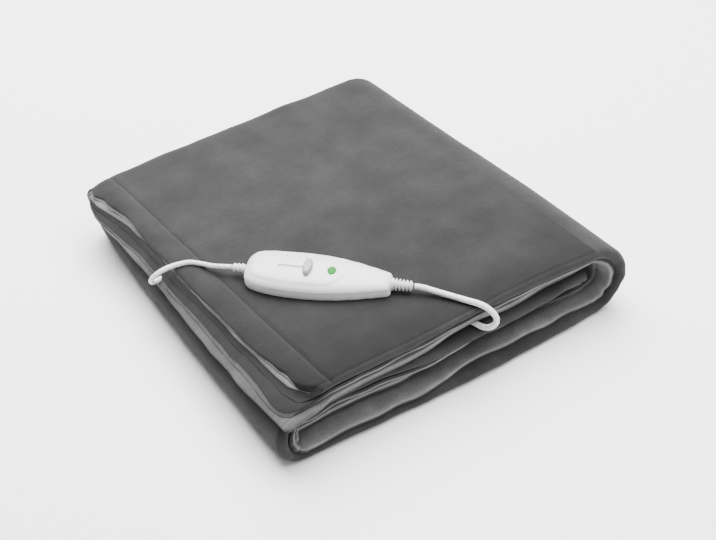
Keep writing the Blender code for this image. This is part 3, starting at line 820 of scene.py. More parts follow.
    def creases(self, x: np.ndarray, y: np.ndarray) -> np.ndarray:
        """The height of the soft folds and the slow swell of the top cloth."""
        total = self.swell_size * self.swell.at(x, y)
        px, py, way_x, way_y, half_length, half_width = self.pressed
        ahead = ((x - px) * way_x + (y - py) * way_y) / half_length
        beside = ((y - py) * way_x - (x - px) * way_y) / half_width
        free = 1.0 - np.exp(-ahead ** 4 - beside ** 4)
        for at_x, at_y, turn, length, width, height in self.folds:
            c, s = math.cos(math.radians(turn)), math.sin(math.radians(turn))
            along = (x - at_x) * c + (y - at_y) * s
            aside = -(x - at_x) * s + (y - at_y) * c
            bend = self.fold_bend * along ** 2
            total = total + height * np.exp(-(along / length) ** 2
                                            - ((aside - bend) / width) ** 2)
        return total * free

    def place(self, stretch: Stretch, share: float, inset: np.ndarray, y: np.ndarray,
              depth_mm: np.ndarray, fronts: np.ndarray) -> np.ndarray:
        """Finds points of the roll.

        Args:
            stretch: the stretch of the roll.
            share: how far along that stretch, from 0 to 1.
            inset: how far the points lie in from the hem, for points at a hem.
            y: the points' y.
            depth_mm: how deep they lie in the packet, from its outer face.
            fronts: how far each layer reaches at the front.
        Returns:
            An array of x, y, z in the drawing's frame.
        """
        depth = (depth_mm - self.spare) / self.packet
        narrow, wide = self.centres(y)
        if stretch in (Stretch.WIDE_TURN, Stretch.NARROW_TURN):
            is_wide = stretch is Stretch.WIDE_TURN
            centre = wide if is_wide else narrow
            height = self.height(centre, y)
            radius = height * (1.0 if is_wide else self.middle_share) / 2.0
            turn = math.pi * (0.5 - share) if is_wide else -math.pi * (0.5 + share)
            inward = radius - depth * self.packet_share * height
            return np.stack([centre + inward * math.cos(turn), y,
                             radius + inward * math.sin(turn)], axis=-1)
        if stretch is Stretch.TOP:
            line = mix(*self.straight_x, self.deep(y))
            past = (wide - line) * share
            wave = self.hem_x(y, depth, fronts) + inset - line
            x = line + past + wave * np.exp(-past / self.straight_within)
        elif stretch is Stretch.BOTTOM:
            x = mix(wide, narrow, share)
        else:
            x = mix(narrow, mix(*self.inner_hem, self.deep(y)) - inset, share)
        height = self.height(x, y)
        thick = self.packet_share * height
        within = np.clip(depth, 0.0, 1.0)
        loose = self.wobble_size * self.wobble.at(x, y) * np.sin(math.pi * within)
        if stretch is Stretch.BOTTOM:
            return np.stack([x, y, depth * thick + loose], axis=-1)
        if stretch is Stretch.TOP:
            calm = smooth((1.0 - share) / self.calm_share)
            lift = self.creases(x, y) * (1.0 - within) * calm
            below = depth * (thick - self.dent_above(x, y))
            return np.stack([x, y, height - below - self.sag(x, y) + lift + loose], axis=-1)
        dent = self.dent_below(x, y)
        below = depth * (thick - dent)
        return np.stack([x, y, height * self.middle_share - dent - below + loose], axis=-1)


# ---- the two fleece panels --------------------------------------------------------------


class Face(Enum):
    """The two faces of the throw, as the side of the cloth's middle that they lie on."""

    DARK = 1.0
    LIGHT = -1.0


@dataclass(frozen=True)
class Cut:
    """One cut through the roll: where it lies, and how far round the hem's rim it is."""

    stretch: Stretch
    share: float
    rim: float
    from_hem: float

    @property
    def place(self) -> float:
        """The cut's place along the roll, from 0 to 5."""
        return self.stretch.value + self.share


@dataclass(frozen=True)
class Section:
    """The middle of the cloth through the four layers of a cut, from edge to edge.

    Each point has its y, its depth in the packet, its share of the full thickness, the angle by
    which the dark panel wraps the hem's rim, its share of a raw edge, and how far the light pile
    stands up there. The fronts are how far each layer reaches at the front.
    """

    y: np.ndarray
    depth: np.ndarray
    full: np.ndarray
    wrap: np.ndarray
    raw: np.ndarray
    loft: np.ndarray
    fronts: np.ndarray

    def normals(self) -> np.ndarray:
        """The unit normals, which point to the dark side, as y and depth."""
        ways = np.stack([np.gradient(self.y), np.gradient(self.depth)], axis=1)
        ways /= np.linalg.norm(ways, axis=1)[:, None]
        return np.stack([ways[:, 1], -ways[:, 0]], axis=1)


@dataclass(frozen=True)
class PaintedLightAndRawEdges:
    """Painted light and shade on the pile, and its lighter raw edges; the plain cloth is 1.

    A pair is a share by which it is darker, and the reach of that in mm.
    """

    # lighter at raw edges, dark and light, and a hem's rim: the ground, and a painted highlight
    raw_ground_and_highlight: tuple[float, float] = (0.1, 0.4)
    rim_reach: float = 1.6
    rim_turn: tuple[float, float] = (1.1, 0.4)
    # the light raw edge is duller near the hem's corner
    raw_near_hem: tuple[float, float] = (0.6, 45.0)
    # Painted light on the inmost dark face, to just past the wide turn, deep in the roll.
    inmost_painted_light: float = 1.7
    inmost_depth: float = 18.0
    inmost_end: float = 2.2
    # painted shade on the outer dark face of the lower stretches, in the shade of the roll
    low_painted_shade: dict[Stretch, float] = field(default_factory=lambda: {
        Stretch.BOTTOM: 0.84, Stretch.NARROW_TURN: 0.62, Stretch.MIDDLE: 0.88})
    # along the hem: painted shade on the light and the dark face between layers, and darker on top
    light_hem_painted_shade: tuple[float, float] = (0.45, 20.0)
    painted_shade_between_layers: tuple[float, float] = (0.36, 26.0)
    top_hem: tuple[float, float] = (0.2, 16.0)
    # painted shade on top: towards the front, and over its near part
    front: tuple[float, float] = (0.5, 46.0)
    near: float = 0.34


def toned(darker: tuple[float, float], distance: Numbers) -> Numbers:
    """The tone at a distance in mm from an edge that is darker by a share, over a reach."""
    share, reach = darker
    return 1.0 - share * np.exp(-(distance / reach) ** 2)


@dataclass
class FoldedThrow:
    """The throw itself: a dark and a light fleece panel, folded together, and the hem's seam."""

    form: RollForm
    # painted light and shade on the pile, and its lighter raw edges
    nap_and_painted_light: PaintedLightAndRawEdges = field(default_factory=PaintedLightAndRawEdges)
    # half the distance between the two panels' hidden faces
    core: float = 0.06
    # the rounded rims of edges and hems: their steps, and how far they bulge, in half cloths
    rim_steps: int = 5
    rim_bulge: float = 0.32
    # the folds at the nose and at the back bulge more than a half circle
    nose_bulge: float = 1.35
    back_bulge: float = 1.1
    # how far in from an edge it looks raw
    raw_reach: float = 2.2
    # x of the hem, for the reach of the cuts along the top
    hem_middle: float = -180.0
    # the hem's seam: how far in it lies, its groove, and the points of its line
    seam_from_hem: float = 28.0
    seam_groove: float = 1.3
    seam_width: float = 2.6
    seam_points: int = 160
    seam_y: tuple[float, float] = (-203.0, 200.0)
    # how far the thread is sunk in; stitch pitch, thread radius and half a stitch's length
    thread_sunk: float = 0.1
    stitch: tuple[float, float, float] = (4.4, 0.36, 1.75)
    # depth down to which a point belongs to the outer dark face
    outer_depth: float = 4.0
    # stretch, its length, and the distance between cuts
    spans: tuple[tuple[Stretch, float, float], ...] = (
        (Stretch.TOP, 352.0, 4.4),
        (Stretch.WIDE_TURN, 130.0, 4.0),
        (Stretch.BOTTOM, 352.0, 4.0),
        (Stretch.NARROW_TURN, 86.0, 3.4),
        (Stretch.MIDDLE, 345.0, 4.8),
    )
    # place along the roll; how far behind the front line the nose fold, the third and the
    # fourth layer's edge lie; how far the back fold stands in
    edge_rows: tuple[tuple[float, ...], ...] = (
        (0.00, 0.0, 0.0, -8.0, 0.0),
        (0.03, 0.0, 1.0, -5.0, 0.0),
        (0.09, 0.0, 3.2, 0.5, 0.0),
        (0.20, 0.0, 3.6, 2.5, 0.0),
        (0.45, 0.0, 3.6, 3.0, 2.0),
        (0.60, 0.5, 4.0, 3.0, 3.0),
        (0.70, 2.0, 7.0, 6.0, 3.0),
        (0.85, 1.0, 8.0, 9.0, 2.0),
        (1.00, -3.0, 5.0, 11.0, 1.0),
        (1.25, -7.5, 0.0, 13.0, 1.0),
        (1.50, -9.0, -2.0, 15.0, 0.0),
        (1.75, -6.5, -1.0, 15.0, 1.0),
        (2.00, -6.5, 0.0, 15.0, 2.0),
        (2.20, -10.0, 0.0, 17.0, 3.0),
        (2.45, -11.0, -1.0, 23.0, 3.0),
        (2.60, -10.0, -7.0, 23.0, 2.0),
        (2.72, -8.5, -7.0, 21.0, 2.0),
        (2.86, -7.0, -7.0, 19.0, 1.0),
        (2.95, -6.0, -6.0, 15.0, 1.0),
        (3.05, -5.0, -5.0, 7.0, 1.0),
        (3.30, -4.0, -3.0, 0.0, 3.0),
        (3.55, -2.0, 0.0, 0.5, 4.0),
        (3.80, 2.5, 4.5, 4.0, 5.0),
        (4.00, 6.5, 8.5, 7.5, 6.0),
        (4.12, 7.5, 10.5, 9.0, 6.0),
        (4.24, 6.5, 9.5, 8.5, 5.0),
        (4.34, 2.0, 5.5, 6.5, 5.0),
        (4.43, -2.5, 3.0, 8.0, 5.0),
        (4.60, -3.0, 6.0, 14.0, 5.0),
        (4.80, -1.0, 8.0, 16.0, 6.0),
        (5.00, 3.0, 12.0, 20.0, 8.0),
    )
    # y, and how far round the rim of the outer layer's hem the dark panel reaches, in degrees
    wrap_rows: tuple[tuple[float, ...], ...] = (
        (-200.0, 84.0),
        (-184.0, 84.0),
        (-175.0, 12.0),
        (-60.0, 16.0),
        (-16.0, 26.0),
        (-2.0, 86.0),
        (92.0, 86.0),
        (104.0, 8.0),
        (205.0, 5.0),
    )
    # distances in from a free edge at which the section gets its first points, and how many
    # more it gets from there to the back fold
    from_edge: tuple[float, ...] = (1.5, 4.0, 9.0, 14.0, 19.0, 24.0, 31.0)
    spread_inside: int = 21
    # points on the outer layer's span, of the dark panel's own face and of any other
    outer_points: tuple[int, int] = (84, 30)
    # the outer layer's points crowd towards its two folds by this share
    crowding: float = 0.115
    # about how much cloth a stretch takes, how far each edge wanders, and its ripple's seed
    stretch_run: float = 385.0
    wander: tuple[tuple[float, int], ...] = ((0.5, 21), (0.9, 22), (0.9, 23), (0.6, 24))
    wander_waves: tuple[float, float] = (34.0, 150.0)
    # how high the light pile of the third layer stands up in front of a fourth that lies back
    loft: float = 3.4
    # cuts lie this close together from the hem to past its seam
    hem_step: float = 1.3

    def cuts(self) -> list[Cut]:
        """The cuts along the roll, closest together at the hem, round both hems' rims."""
        rims = np.linspace(0.0, 1.0, self.rim_steps + 1)
        found = [Cut(Stretch.TOP, 0.0, rim, 0.0) for rim in rims[:-1]]
        for stretch, length, step in self.spans:
            at = np.arange(0.0, length - 0.5 * step, step)
            if stretch is Stretch.TOP:
                near = self.seam_from_hem + 4.0 * self.seam_width
                at = np.concatenate([np.arange(0.0, near, self.hem_step),
                                     np.arange(near, length, step)])
            found += [Cut(stretch, float(a / length), 1.0,
                          float(a) if stretch is Stretch.TOP else 1e3) for a in at]
        found += [Cut(Stretch.MIDDLE, 1.0, rim, 1e3) for rim in rims[::-1]]
        return found

    def cut_x(self, cut: Cut) -> float:
        """The x of a cut, where the packet meets the front."""
        form = self.form
        narrow, wide = (float(v) for v in form.centres(np.array(form.plan_y[0])))
        return {Stretch.TOP: mix(self.hem_middle, wide, cut.share),
                Stretch.WIDE_TURN: wide,
                Stretch.BOTTOM: mix(wide, narrow, cut.share),
                Stretch.NARROW_TURN: narrow,
                Stretch.MIDDLE: mix(narrow, form.inner_hem[0], cut.share)}[cut.stretch]

    def lofted(self, behind: np.ndarray, recess: float) -> np.ndarray:
        """How high the light pile of the third layer stands in front of the fourth.

        Args:
            behind: how far the points lie behind the third layer's edge.
            recess: how far the fourth layer's edge lies behind it.
        Returns:
            How far the pile stands up at each point.
        """
        starts = smooth(behind / max(recess - 2.0, 1.0))
        ends = 1.0 - smooth((behind - recess - 1.0) / 9.0)
        return self.loft * smooth((recess - 7.0) / 8.0) * starts * ends

    def section(self, cut: Cut, edges: np.ndarray, tops: int) -> Section:
        """The middle of the cloth through a cut.

        Args:
            cut: the cut.
            edges: its row of the edge table.
            tops: how many points the outer layer's span gets.
        Returns:
            The section, from the third layer's edge round to the fourth's.
        """
        form = self.form
        nose, third, fourth, back = edges
        front, rear = form.reaches(self.cut_x(cut))
        half = form.layer / 2.0
        middle = form.packet / 2.0
        nose_y = front + nose + self.nose_bulge * (half + form.half_cloth)
        back_y = rear - back - self.back_bulge * (3.0 * half + form.half_cloth)
        third_y, fourth_y = front + third, front + fourth
        rim = np.linspace(0.0, 0.5 * math.pi, self.rim_steps + 1)
        round_in = self.rim_bulge * form.half_cloth * (1.0 - np.cos(rim))
        edge_in = np.concatenate([round_in, form.half_cloth + np.array(self.from_edge)])
        edge_full = np.concatenate([np.sin(rim), np.ones(len(self.from_edge))])
        past = form.half_cloth + self.from_edge[-1]
        inner = np.linspace(0.5 * math.pi, -0.5 * math.pi, 7)
        nose_arc = np.linspace(0.5 * math.pi, 1.5 * math.pi, 13)
        outer = np.linspace(-0.5 * math.pi, 0.5 * math.pi, 15)
        inside = parted(self.spread_inside)
        spread = parted(tops)
        spread = spread - self.crowding * np.sin(2.0 * math.pi * spread)
        parts = (
            # the third layer, from its edge to the inner fold at the back, and that fold
            (third_y + edge_in, 5.0 * half),
            (mix(third_y + past, back_y, inside), 5.0 * half),
            (back_y + half * np.cos(inner), middle + half * np.sin(inner)),
            # the second layer, forward to the nose, and round it
            (mix(back_y, nose_y, inside), 3.0 * half),
            (nose_y + self.nose_bulge * half * np.cos(nose_arc),
             form.layer + half * np.sin(nose_arc)),
            # the outer layer, back to the outer fold, and that fold
            (mix(nose_y, back_y, spread), half),
            (back_y + self.back_bulge * 3.0 * half * np.cos(outer),
             middle + 3.0 * half * np.sin(outer)),
            # the fourth layer, forward to its edge
            (mix(back_y, fourth_y + past, inside), 7.0 * half),
            ((fourth_y + edge_in)[::-1], 7.0 * half),
        )
        y = np.concatenate([along for along, _ in parts])
        depth = np.concatenate([np.broadcast_to(deep, along.shape) for along, deep in parts])
        wrap = np.zeros(len(y))
        if cut.stretch is Stretch.TOP:
            # The dark panel wraps the outer two layers, and not the nose's very front.
            outer_two = smooth((0.55 - depth / form.packet) / 0.1)
            wrap = (np.radians(read_rows(self.wrap_rows, y)[:, 0]) * outer_two
                    * smooth((y + 205.0) / 4.0))
        loft = np.zeros(len(y))
        third_count = len(edge_in) + self.spread_inside
        behind = np.clip(y[:third_count] - third_y, 0.0, None)
        loft[:third_count] = self.lofted(behind, fourth_y - third_y)
        return Section(y, depth, at_both_ends(edge_full, len(y), 1.0), wrap,
                       at_both_ends(np.exp(-edge_in / self.raw_reach), len(y), 0.0), loft,
                       np.array([front + nose, front + nose, third_y, fourth_y]))

    def groove(self, cut: Cut) -> float:
        """How deep the outer layer is drawn in at a cut: most at the seam, less on the hem."""
        if cut.stretch is not Stretch.TOP:
            return 0.0
        away = (cut.from_hem - self.seam_from_hem) / self.seam_width
        puff = 0.5 * smooth((self.seam_from_hem - cut.from_hem) / 14.0)
        rounded = 1.6 * math.exp(-cut.from_hem / 5.0)
        return self.seam_groove * math.exp(-away ** 2) - puff + rounded

    def outer_face(self, cut: Cut, line: Section, face: Face) -> np.ndarray:
        """The points of a panel's own face at a cut, round the rim where the cut is at a hem."""
        start = -face.value * line.wrap
        angle = mix(start, 0.5 * math.pi, cut.rim)
        normals = line.normals()
        offset = face.value * self.form.half_cloth * line.full * np.sin(angle)
        if face is Face.LIGHT:
            offset = offset - line.loft
        y = line.y + normals[:, 0] * offset
        depth = line.depth + normals[:, 1] * offset
        on_top = np.exp(-((depth - self.form.spare) / 5.0) ** 2)
        depth = depth + self.groove(cut) * on_top
        inset = self.rim_bulge * self.form.half_cloth * (1.0 - np.cos(angle)) * (1.0 - cut.share)
        return self.form.place(cut.stretch, cut.share, inset, y, depth, line.fronts)

    def inner_face(self, cut: Cut, line: Section, face: Face) -> np.ndarray:
        """The points of a panel's hidden face, close to the cloth's middle, at a cut."""
        first = self.rim_bulge * self.form.half_cloth * (1.0 - np.cos(line.wrap))
        inset = mix(first, self.rim_bulge * self.form.half_cloth, cut.rim)
        fade = np.exp(-(inset - first + cut.from_hem) / 4.0)
        shift = face.value * self.core - self.form.half_cloth * np.sin(line.wrap) * fade
        normals = line.normals()
        y = line.y + normals[:, 0] * shift
        depth = line.depth + normals[:, 1] * shift
        return self.form.place(cut.stretch, cut.share, inset * (1.0 - cut.share), y, depth,
                               line.fronts)

    def tones(self, cut: Cut, line: Section, face: Face) -> np.ndarray:
        """How light the pile looks at a cut.

        It is lighter at a raw edge, partly a painted highlight, with painted shade towards the
        front, the near part of the hem and between the layers, and painted light in the wide turn.

        Args:
            cut: the cut.
            line: its section.
            face: which panel it is.
        Returns:
            The tone at each of the section's points, 1 for the plain cloth.
        """
        nap_and_painted_light = self.nap_and_painted_light
        dark = face is Face.DARK
        on_top = cut.stretch is Stretch.TOP
        full, less = nap_and_painted_light.rim_turn
        at_rim = math.exp(-cut.from_hem / nap_and_painted_light.rim_reach) * (full - less * cut.rim)
        at_edge = line.raw
        if on_top and not dark:
            at_edge = at_edge * toned(nap_and_painted_light.raw_near_hem, cut.from_hem)
        # Lighter raw edges and hem rims: partly the cut pile's lighter ground, partly a painted
        # highlight.
        raw_edges_and_painted_light = 1.0 + nap_and_painted_light.raw_ground_and_highlight[0 if dark else 1] * np.maximum(at_edge, at_rim)
        if not dark:
            # Painted shade on the light face where it shows between the layers along the hem.
            shows = smooth((150.0 - line.y) / 60.0) * (line.depth > 13.0) * on_top
            return raw_edges_and_painted_light * mix(1.0, toned(nap_and_painted_light.light_hem_painted_shade, cut.from_hem), shows)
        # Painted light on the inmost dark face, deep in the roll.
        lift = nap_and_painted_light.inmost_painted_light * smooth((nap_and_painted_light.inmost_end - cut.place) / 0.2)
        raw_edges_and_painted_light = raw_edges_and_painted_light * (1.0 + lift * smooth((line.depth - nap_and_painted_light.inmost_depth) / 5.0))
        outer = line.depth < self.outer_depth
        # Painted shade on the outer dark face of the lower stretches.
        if not on_top:
            return raw_edges_and_painted_light * mix(1.0, nap_and_painted_light.low_painted_shade.get(cut.stretch, 1.0), outer)
        # Painted shade on top towards the front and over the near part; also darker near the hem.
        behind = np.clip(line.y - line.fronts[0], 0.0, None)
        near = (smooth((70.0 - line.y) / 170.0)
                * mix(1.0, 0.5, smooth((cut.from_hem - 30.0) / 300.0)))
        seen = (toned(nap_and_painted_light.front, behind) * (1.0 - nap_and_painted_light.near * near)
                * toned(nap_and_painted_light.top_hem, cut.from_hem))
        # Painted shade on the dark faces between the layers along the hem.
        return raw_edges_and_painted_light * np.where(outer, seen, toned(nap_and_painted_light.painted_shade_between_layers, cut.from_hem))

    def panel(self, name: str, face: Face, finish: bpy.types.Material) -> bpy.types.Object:
        """Builds one closed panel of the throw.

        Args:
            name: the piece's name.
            face: which panel it is.
            finish: its material.
        Returns:
            The panel, as one closed mesh with a UV map in metres of cloth.
        """
        cuts = self.cuts()
        edges = read_rows(self.edge_rows, np.array([cut.place for cut in cuts]))
        run = np.array([cut.place * self.stretch_run for cut in cuts])
        for column, (size, seed) in enumerate(self.wander):
            edges[:, column] += size * Ripple(seed, *self.wander_waves).at(run, np.zeros(1))
        dark = face is Face.DARK
        many, few = self.outer_points
        lines = [self.section(cut, row, many if dark else few) for cut, row in zip(cuts, edges)]
        outer = np.array([self.outer_face(cut, line, face) for cut, line in zip(cuts, lines)])
        # The hidden face takes every other cut, but each of those round the hems' rims.
        kept = [k for k, cut in enumerate(cuts)
                if cut.rim < 1.0 or cut.from_hem < 12.0 or k % 2 == 0 or k == len(cuts) - 1]
        inner = np.array([self.inner_face(cuts[k], self.section(cuts[k], edges[k], few), face)
                          for k in kept])
        rows, wide = outer.shape[:2]
        thin_rows, thin = inner.shape[:2]
        first = rows * wide
        faces = grid_faces(rows, wide, flip=dark)
        faces += grid_faces(thin_rows, thin, start=first, flip=not dark)
        along, thin_along = np.arange(rows) * wide, first + np.arange(thin_rows) * thin
        sides = ((along, thin_along, not dark),
                 (along + wide - 1, thin_along + thin - 1, dark),
                 (np.arange(wide), first + np.arange(thin), dark),
                 (along[-1] + np.arange(wide), thin_along[-1] + np.arange(thin), not dark))
        points = np.concatenate([outer.reshape(-1, 3), inner.reshape(-1, 3)])
        for one, other, turned in sides:
            faces += laced(points, one, other, turned)
        made = mesh_piece(name, part_points(points), faces, finish, sharp=80.0)
        set_uv(made.data, "cloth", np.concatenate([cloth_uv(outer), cloth_uv(inner)]))
        # The painted light and shade, with the lighter raw edges, go to the shader as an attribute.
        tones = np.concatenate([self.tones(cut, line, face) for cut, line in zip(cuts, lines)])
        layer = made.data.attributes.new("raw_edges_and_painted_light", "FLOAT", "POINT")
        layer.data.foreach_set("value", np.concatenate([tones, np.ones(thin_rows * thin)]))
        return made

    def seam_line(self) -> np.ndarray:
        """The line of the hem's seam on the top cloth, from the front fold to the back fold."""
        cut = min((c for c in self.cuts() if c.stretch is Stretch.TOP),
                  key=lambda c: abs(c.from_hem - self.seam_from_hem))
        edges = read_rows(self.edge_rows, np.array([cut.place]))[0]
        line = self.section(cut, edges, self.seam_points)
        points = self.outer_face(cut, line, Face.DARK)
        front, back = self.seam_y
        on_top = (line.depth < self.outer_depth) & (line.y > front) & (line.y < back)
        return points[on_top] - np.array([0.0, 0.0, self.thread_sunk])

    def seam(self, finish: bpy.types.Material) -> bpy.types.Object:
        """Sews the hem: lock stitches laid along the seam line by Geometry Nodes."""
        tool = NodeTool("lock_stitches")
        tool.take("NodeSocketFloat", "Stitch pitch", "Thread radius", "Stitch length")
        tree, start = tool.tree, tool.start
        curve = add_node(tree, "GeometryNodeMeshToCurve", {}, {0: start.outputs[0]})
        points = add_node(tree, "GeometryNodeCurveToPoints", {"mode": "LENGTH"},
                          {"Curve": curve.outputs[0], "Length": start.outputs["Stitch pitch"]})
        bead = add_node(tree, "GeometryNodeMeshUVSphere",
                        {"Segments": 8, "Rings": 5, "Radius": 1.0}, {})
        size = add_node(tree, "ShaderNodeCombineXYZ", {},
                        {0: start.outputs["Thread radius"], 1: start.outputs["Thread radius"],
                         2: start.outputs["Stitch length"]})
        shaped = add_node(tree, "GeometryNodeTransform", {},
                          {"Geometry": bead.outputs[0], "Scale": size.outputs[0]})
        laid = add_node(tree, "GeometryNodeInstanceOnPoints", {},
                        {"Points": points.outputs["Points"], "Instance": shaped.outputs[0],
                         "Rotation": points.outputs["Rotation"]})
        tool.end(laid.outputs[0])
        pitch, radius, length = self.stitch
        return tool.run(line_mesh("seam_line", part_points(self.seam_line())), "hem_stitches",
                        {"Stitch pitch": pitch * MM, "Thread radius": radius * MM,
                         "Stitch length": length * MM, "Material": finish})

    def build(self) -> None:
        dark = Fleece("dark_brushed_fleece", "262626", "2d2d2d", "1f1f1f", 0.1).material()
        light = Fleece("light_brushed_fleece", "505050", "5e5e5e", "444444", 0.1).material()
        outside = self.panel("fleece_dark", Face.DARK, dark)
        inside = self.panel("fleece_light", Face.LIGHT, light)
        stitches = self.seam(Thread().material())
        for piece, node, slot in ((outside, "dark_panel", "dark_fleece"),
                                  (inside, "light_panel", "light_fleece")):
            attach(piece, THROW)
            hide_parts(node)
        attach(stitches, THROW)
        LOG.info("throw: %d and %d faces", len(outside.data.polygons),
                 len(inside.data.polygons))


def cloth_uv(points: np.ndarray) -> np.ndarray:
    """A UV place in metres of cloth for each point of a grid of points in mm."""
    u = run_along(points[:, points.shape[1] // 2]) * MM
    v = run_along(points[len(points) // 3]) * MM
    return np.stack(np.meshgrid(u, v, indexing="ij"), axis=-1).reshape(-1, 2)


def laced(points: np.ndarray, one: np.ndarray, other: np.ndarray,
          turned: bool) -> list[tuple[int, ...]]:
    """Three-sided faces that join two strings of points, however many each has.

    Args:
        points: all the points.
        one: the numbers of the first string's points.
        other: the numbers of the second string's points.
        turned: turns the faces over.
    Returns:
        The faces' vertex numbers.
    """
    faces = []
    i = j = 0
    while i < len(one) - 1 or j < len(other) - 1:
        far_one = far_other = math.inf
        if i < len(one) - 1:
            far_one = float(np.linalg.norm(points[one[i + 1]] - points[other[j]]))
        if j < len(other) - 1:
            far_other = float(np.linalg.norm(points[one[i]] - points[other[j + 1]]))
        if far_one <= far_other:
            face = (int(one[i]), int(one[i + 1]), int(other[j]))
            i += 1
        else:
            face = (int(one[i]), int(other[j + 1]), int(other[j]))
            j += 1
        faces.append(face[::-1] if turned else face)
    return faces


# ---- the hand control -------------------------------------------------------------------


@dataclass
class HandControl:
    """The slide-switch hand control: two shells, a button, a lamp and marks."""

    form: RollForm
    # where its middle lies, and the way that its mains end points
    at: tuple[float, float] = (-81.1, -77.9)
    along: tuple[float, float] = (0.684, -0.729)
    # it rests on the cloth this far along either way and aside, and stands clear by the lift
    feet: tuple[float, float] = (60.0, 15.0)
    lift: float = 0.2
    half_length: float = 71.5
    # height of the parting line, half the joint there, and how far the shells' lips stand in
    parting: float = 9.0
    joint: float = 0.15
    lip: float = 0.5
    # distance along, half width, height of the top
    rows: tuple[tuple[float, ...], ...] = (
        (-71.5, 10.0, 11.6),
        (-70.6, 14.6, 13.4),
        (-69.0, 17.8, 15.2),
        (-66.0, 20.8, 17.2),
        (-62.0, 23.0, 18.4),
        (-56.0, 25.0, 19.2),
        (-45.0, 26.8, 19.9),
        (-28.0, 27.9, 20.2),
        (-12.0, 28.3, 20.2),
        (4.0, 27.6, 19.9),
        (20.0, 25.6, 19.2),
        (36.0, 22.2, 18.1),
        (52.0, 17.8, 16.7),
        (62.0, 14.7, 15.7),
        (66.5, 13.4, 15.1),
        (69.5, 12.0, 14.2),
        (71.0, 10.3, 13.2),
        (71.5, 8.7, 12.2),
    )
    # how far the middle line is bowed aside at the blanket end
    bow_aside: float = 1.5
    # the raised face: where it starts, how far it lies in from the edge, and how high it stands
    face_start: float = -66.0
    face_inset: float = 4.2
    face_rise: float = 0.95
    # the row of slot, button and lamp lies beside the middle line
    row_aside: float = -3.5
    # the slot's ends, half its width and the height of its floor
    slot: tuple[float, float, float, float] = (-38.5, -6.5, 1.0, 16.6)
    # the button's middle and half its size; its stem's half size
    knob_at: float = -9.0
    knob_half: tuple[float, float] = (4.6, 11.6)
    stem_half: tuple[float, float] = (2.0, 0.8)
    # the lamp's middle, the radii of its lens and of its seat, and the seat's floor
    lamp_at: float = 14.5
    lens_radii: tuple[float, float] = (3.95, 5.4)
    seat_radii: tuple[float, float] = (4.2, 5.7)
    seat_floor: float = 18.4
    # the setting marks: the first one's place, their pitch, size, tilt in degrees and number
    marks_at: tuple[float, float] = (-32.5, 12.5)
    mark_pitch: float = 6.2
    mark_size: Point = (1.5, 1.9, 0.5)
    mark_tilt: float = -17.0
    marks: int = 4

    def axes(self) -> Matrix:
        """The hand control's own axes, in the part's frame: +X towards the mains end."""
        way = Vector(self.along).normalized()
        side = Vector((-way.y, way.x))
        at = Vector(self.at)
        feet = []
        for place in (at - way * self.feet[0], at + way * self.feet[0],
                      at + side * self.feet[1]):
            z = float(self.form.height(place.x, place.y))
            feet.append(Vector((place.x, place.y, z)))
        middle = (feet[0] + feet[1]) / 2.0
        x_axis = (feet[1] - feet[0]).normalized()
        z_axis = x_axis.cross(feet[2] - middle).normalized()
        y_axis = z_axis.cross(x_axis)
        turn = Matrix((x_axis, y_axis, z_axis)).transposed().to_4x4()
        centre = Vector(part_points(np.array(middle + z_axis * self.lift)))
        return Matrix.Translation(centre) @ turn

    def seat(self, points: np.ndarray) -> np.ndarray:
        """Brings points of the hand control, in mm, into the part's frame."""
        axes = np.array(self.axes())
        return np.asarray(points) * MM @ axes[:3, :3].T + axes[:3, 3]

    def turned(self, name: str, rings: np.ndarray, finish: bpy.types.Material,
               sharp: float) -> bpy.types.Object:
        """Makes a closed piece of the hand control from a stack of rings.

        Args:
            name: the piece's name.
            rings: the rings' points, in mm, in the hand control's axes.
            finish: its material.
            sharp: edges that turn by more than this many degrees stay sharp.
        Returns:
            The new object.
        """
        faces = closed_faces(len(rings), rings.shape[1])
        return mesh_piece(name, self.seat(rings.reshape(-1, 3)), faces, finish, sharp)

    def profile(self, along: np.ndarray) -> tuple[np.ndarray, np.ndarray]:
        """The half width and the top's height at places along the hand control."""
        found = read_rows(self.rows, along)
        return found[:, 0], found[:, 1]

    def bow(self, along: float) -> float:
        """How far the middle line lies aside: the blanket end is drawn to the far side."""
        return self.bow_aside * smooth((-26.0 - along) / 42.0)

    def panel_rise(self, x: np.ndarray, y: np.ndarray, width: np.ndarray) -> np.ndarray:
        """How far the raised face stands over the shell: it sweeps up to the far edge."""
        start = self.face_start
        inset = self.face_inset + 2.4 * smooth((start + 9.0 - x) / 9.0)
        sweep = mix(-(width - inset), width + 2.0, smooth((x - 6.0) / 50.0) ** 1.5)
        inside = np.minimum(np.minimum(y - sweep, (width - 3.2) - y), (x - start) * 0.9)
        return self.face_rise * smooth(inside / 2.2)

    def top_z(self, x: np.ndarray, y: np.ndarray) -> np.ndarray:
        """The height of the upper shell over a place."""
        width, top = self.profile(x)
        share = np.clip(np.abs(y) / width, 0.0, 1.0)
        crown = (top - self.parting) * (1.0 - share ** 2.6) ** 0.5
        return self.parting + crown + self.panel_rise(x, y, width) * (1.0 - share ** 6)

    def shell_places(self) -> np.ndarray:
        """Places along the hand control, close together at its two ends."""
        ends = np.array([0.0, 0.25, 0.7, 1.3, 2.1, 3.2, 4.6, 6.2, 8.0])
        middle = np.linspace(-61.5, 63.0, 84)
        return np.concatenate([ends - self.half_length, middle,
                               (self.half_length - ends[:8])[::-1]])

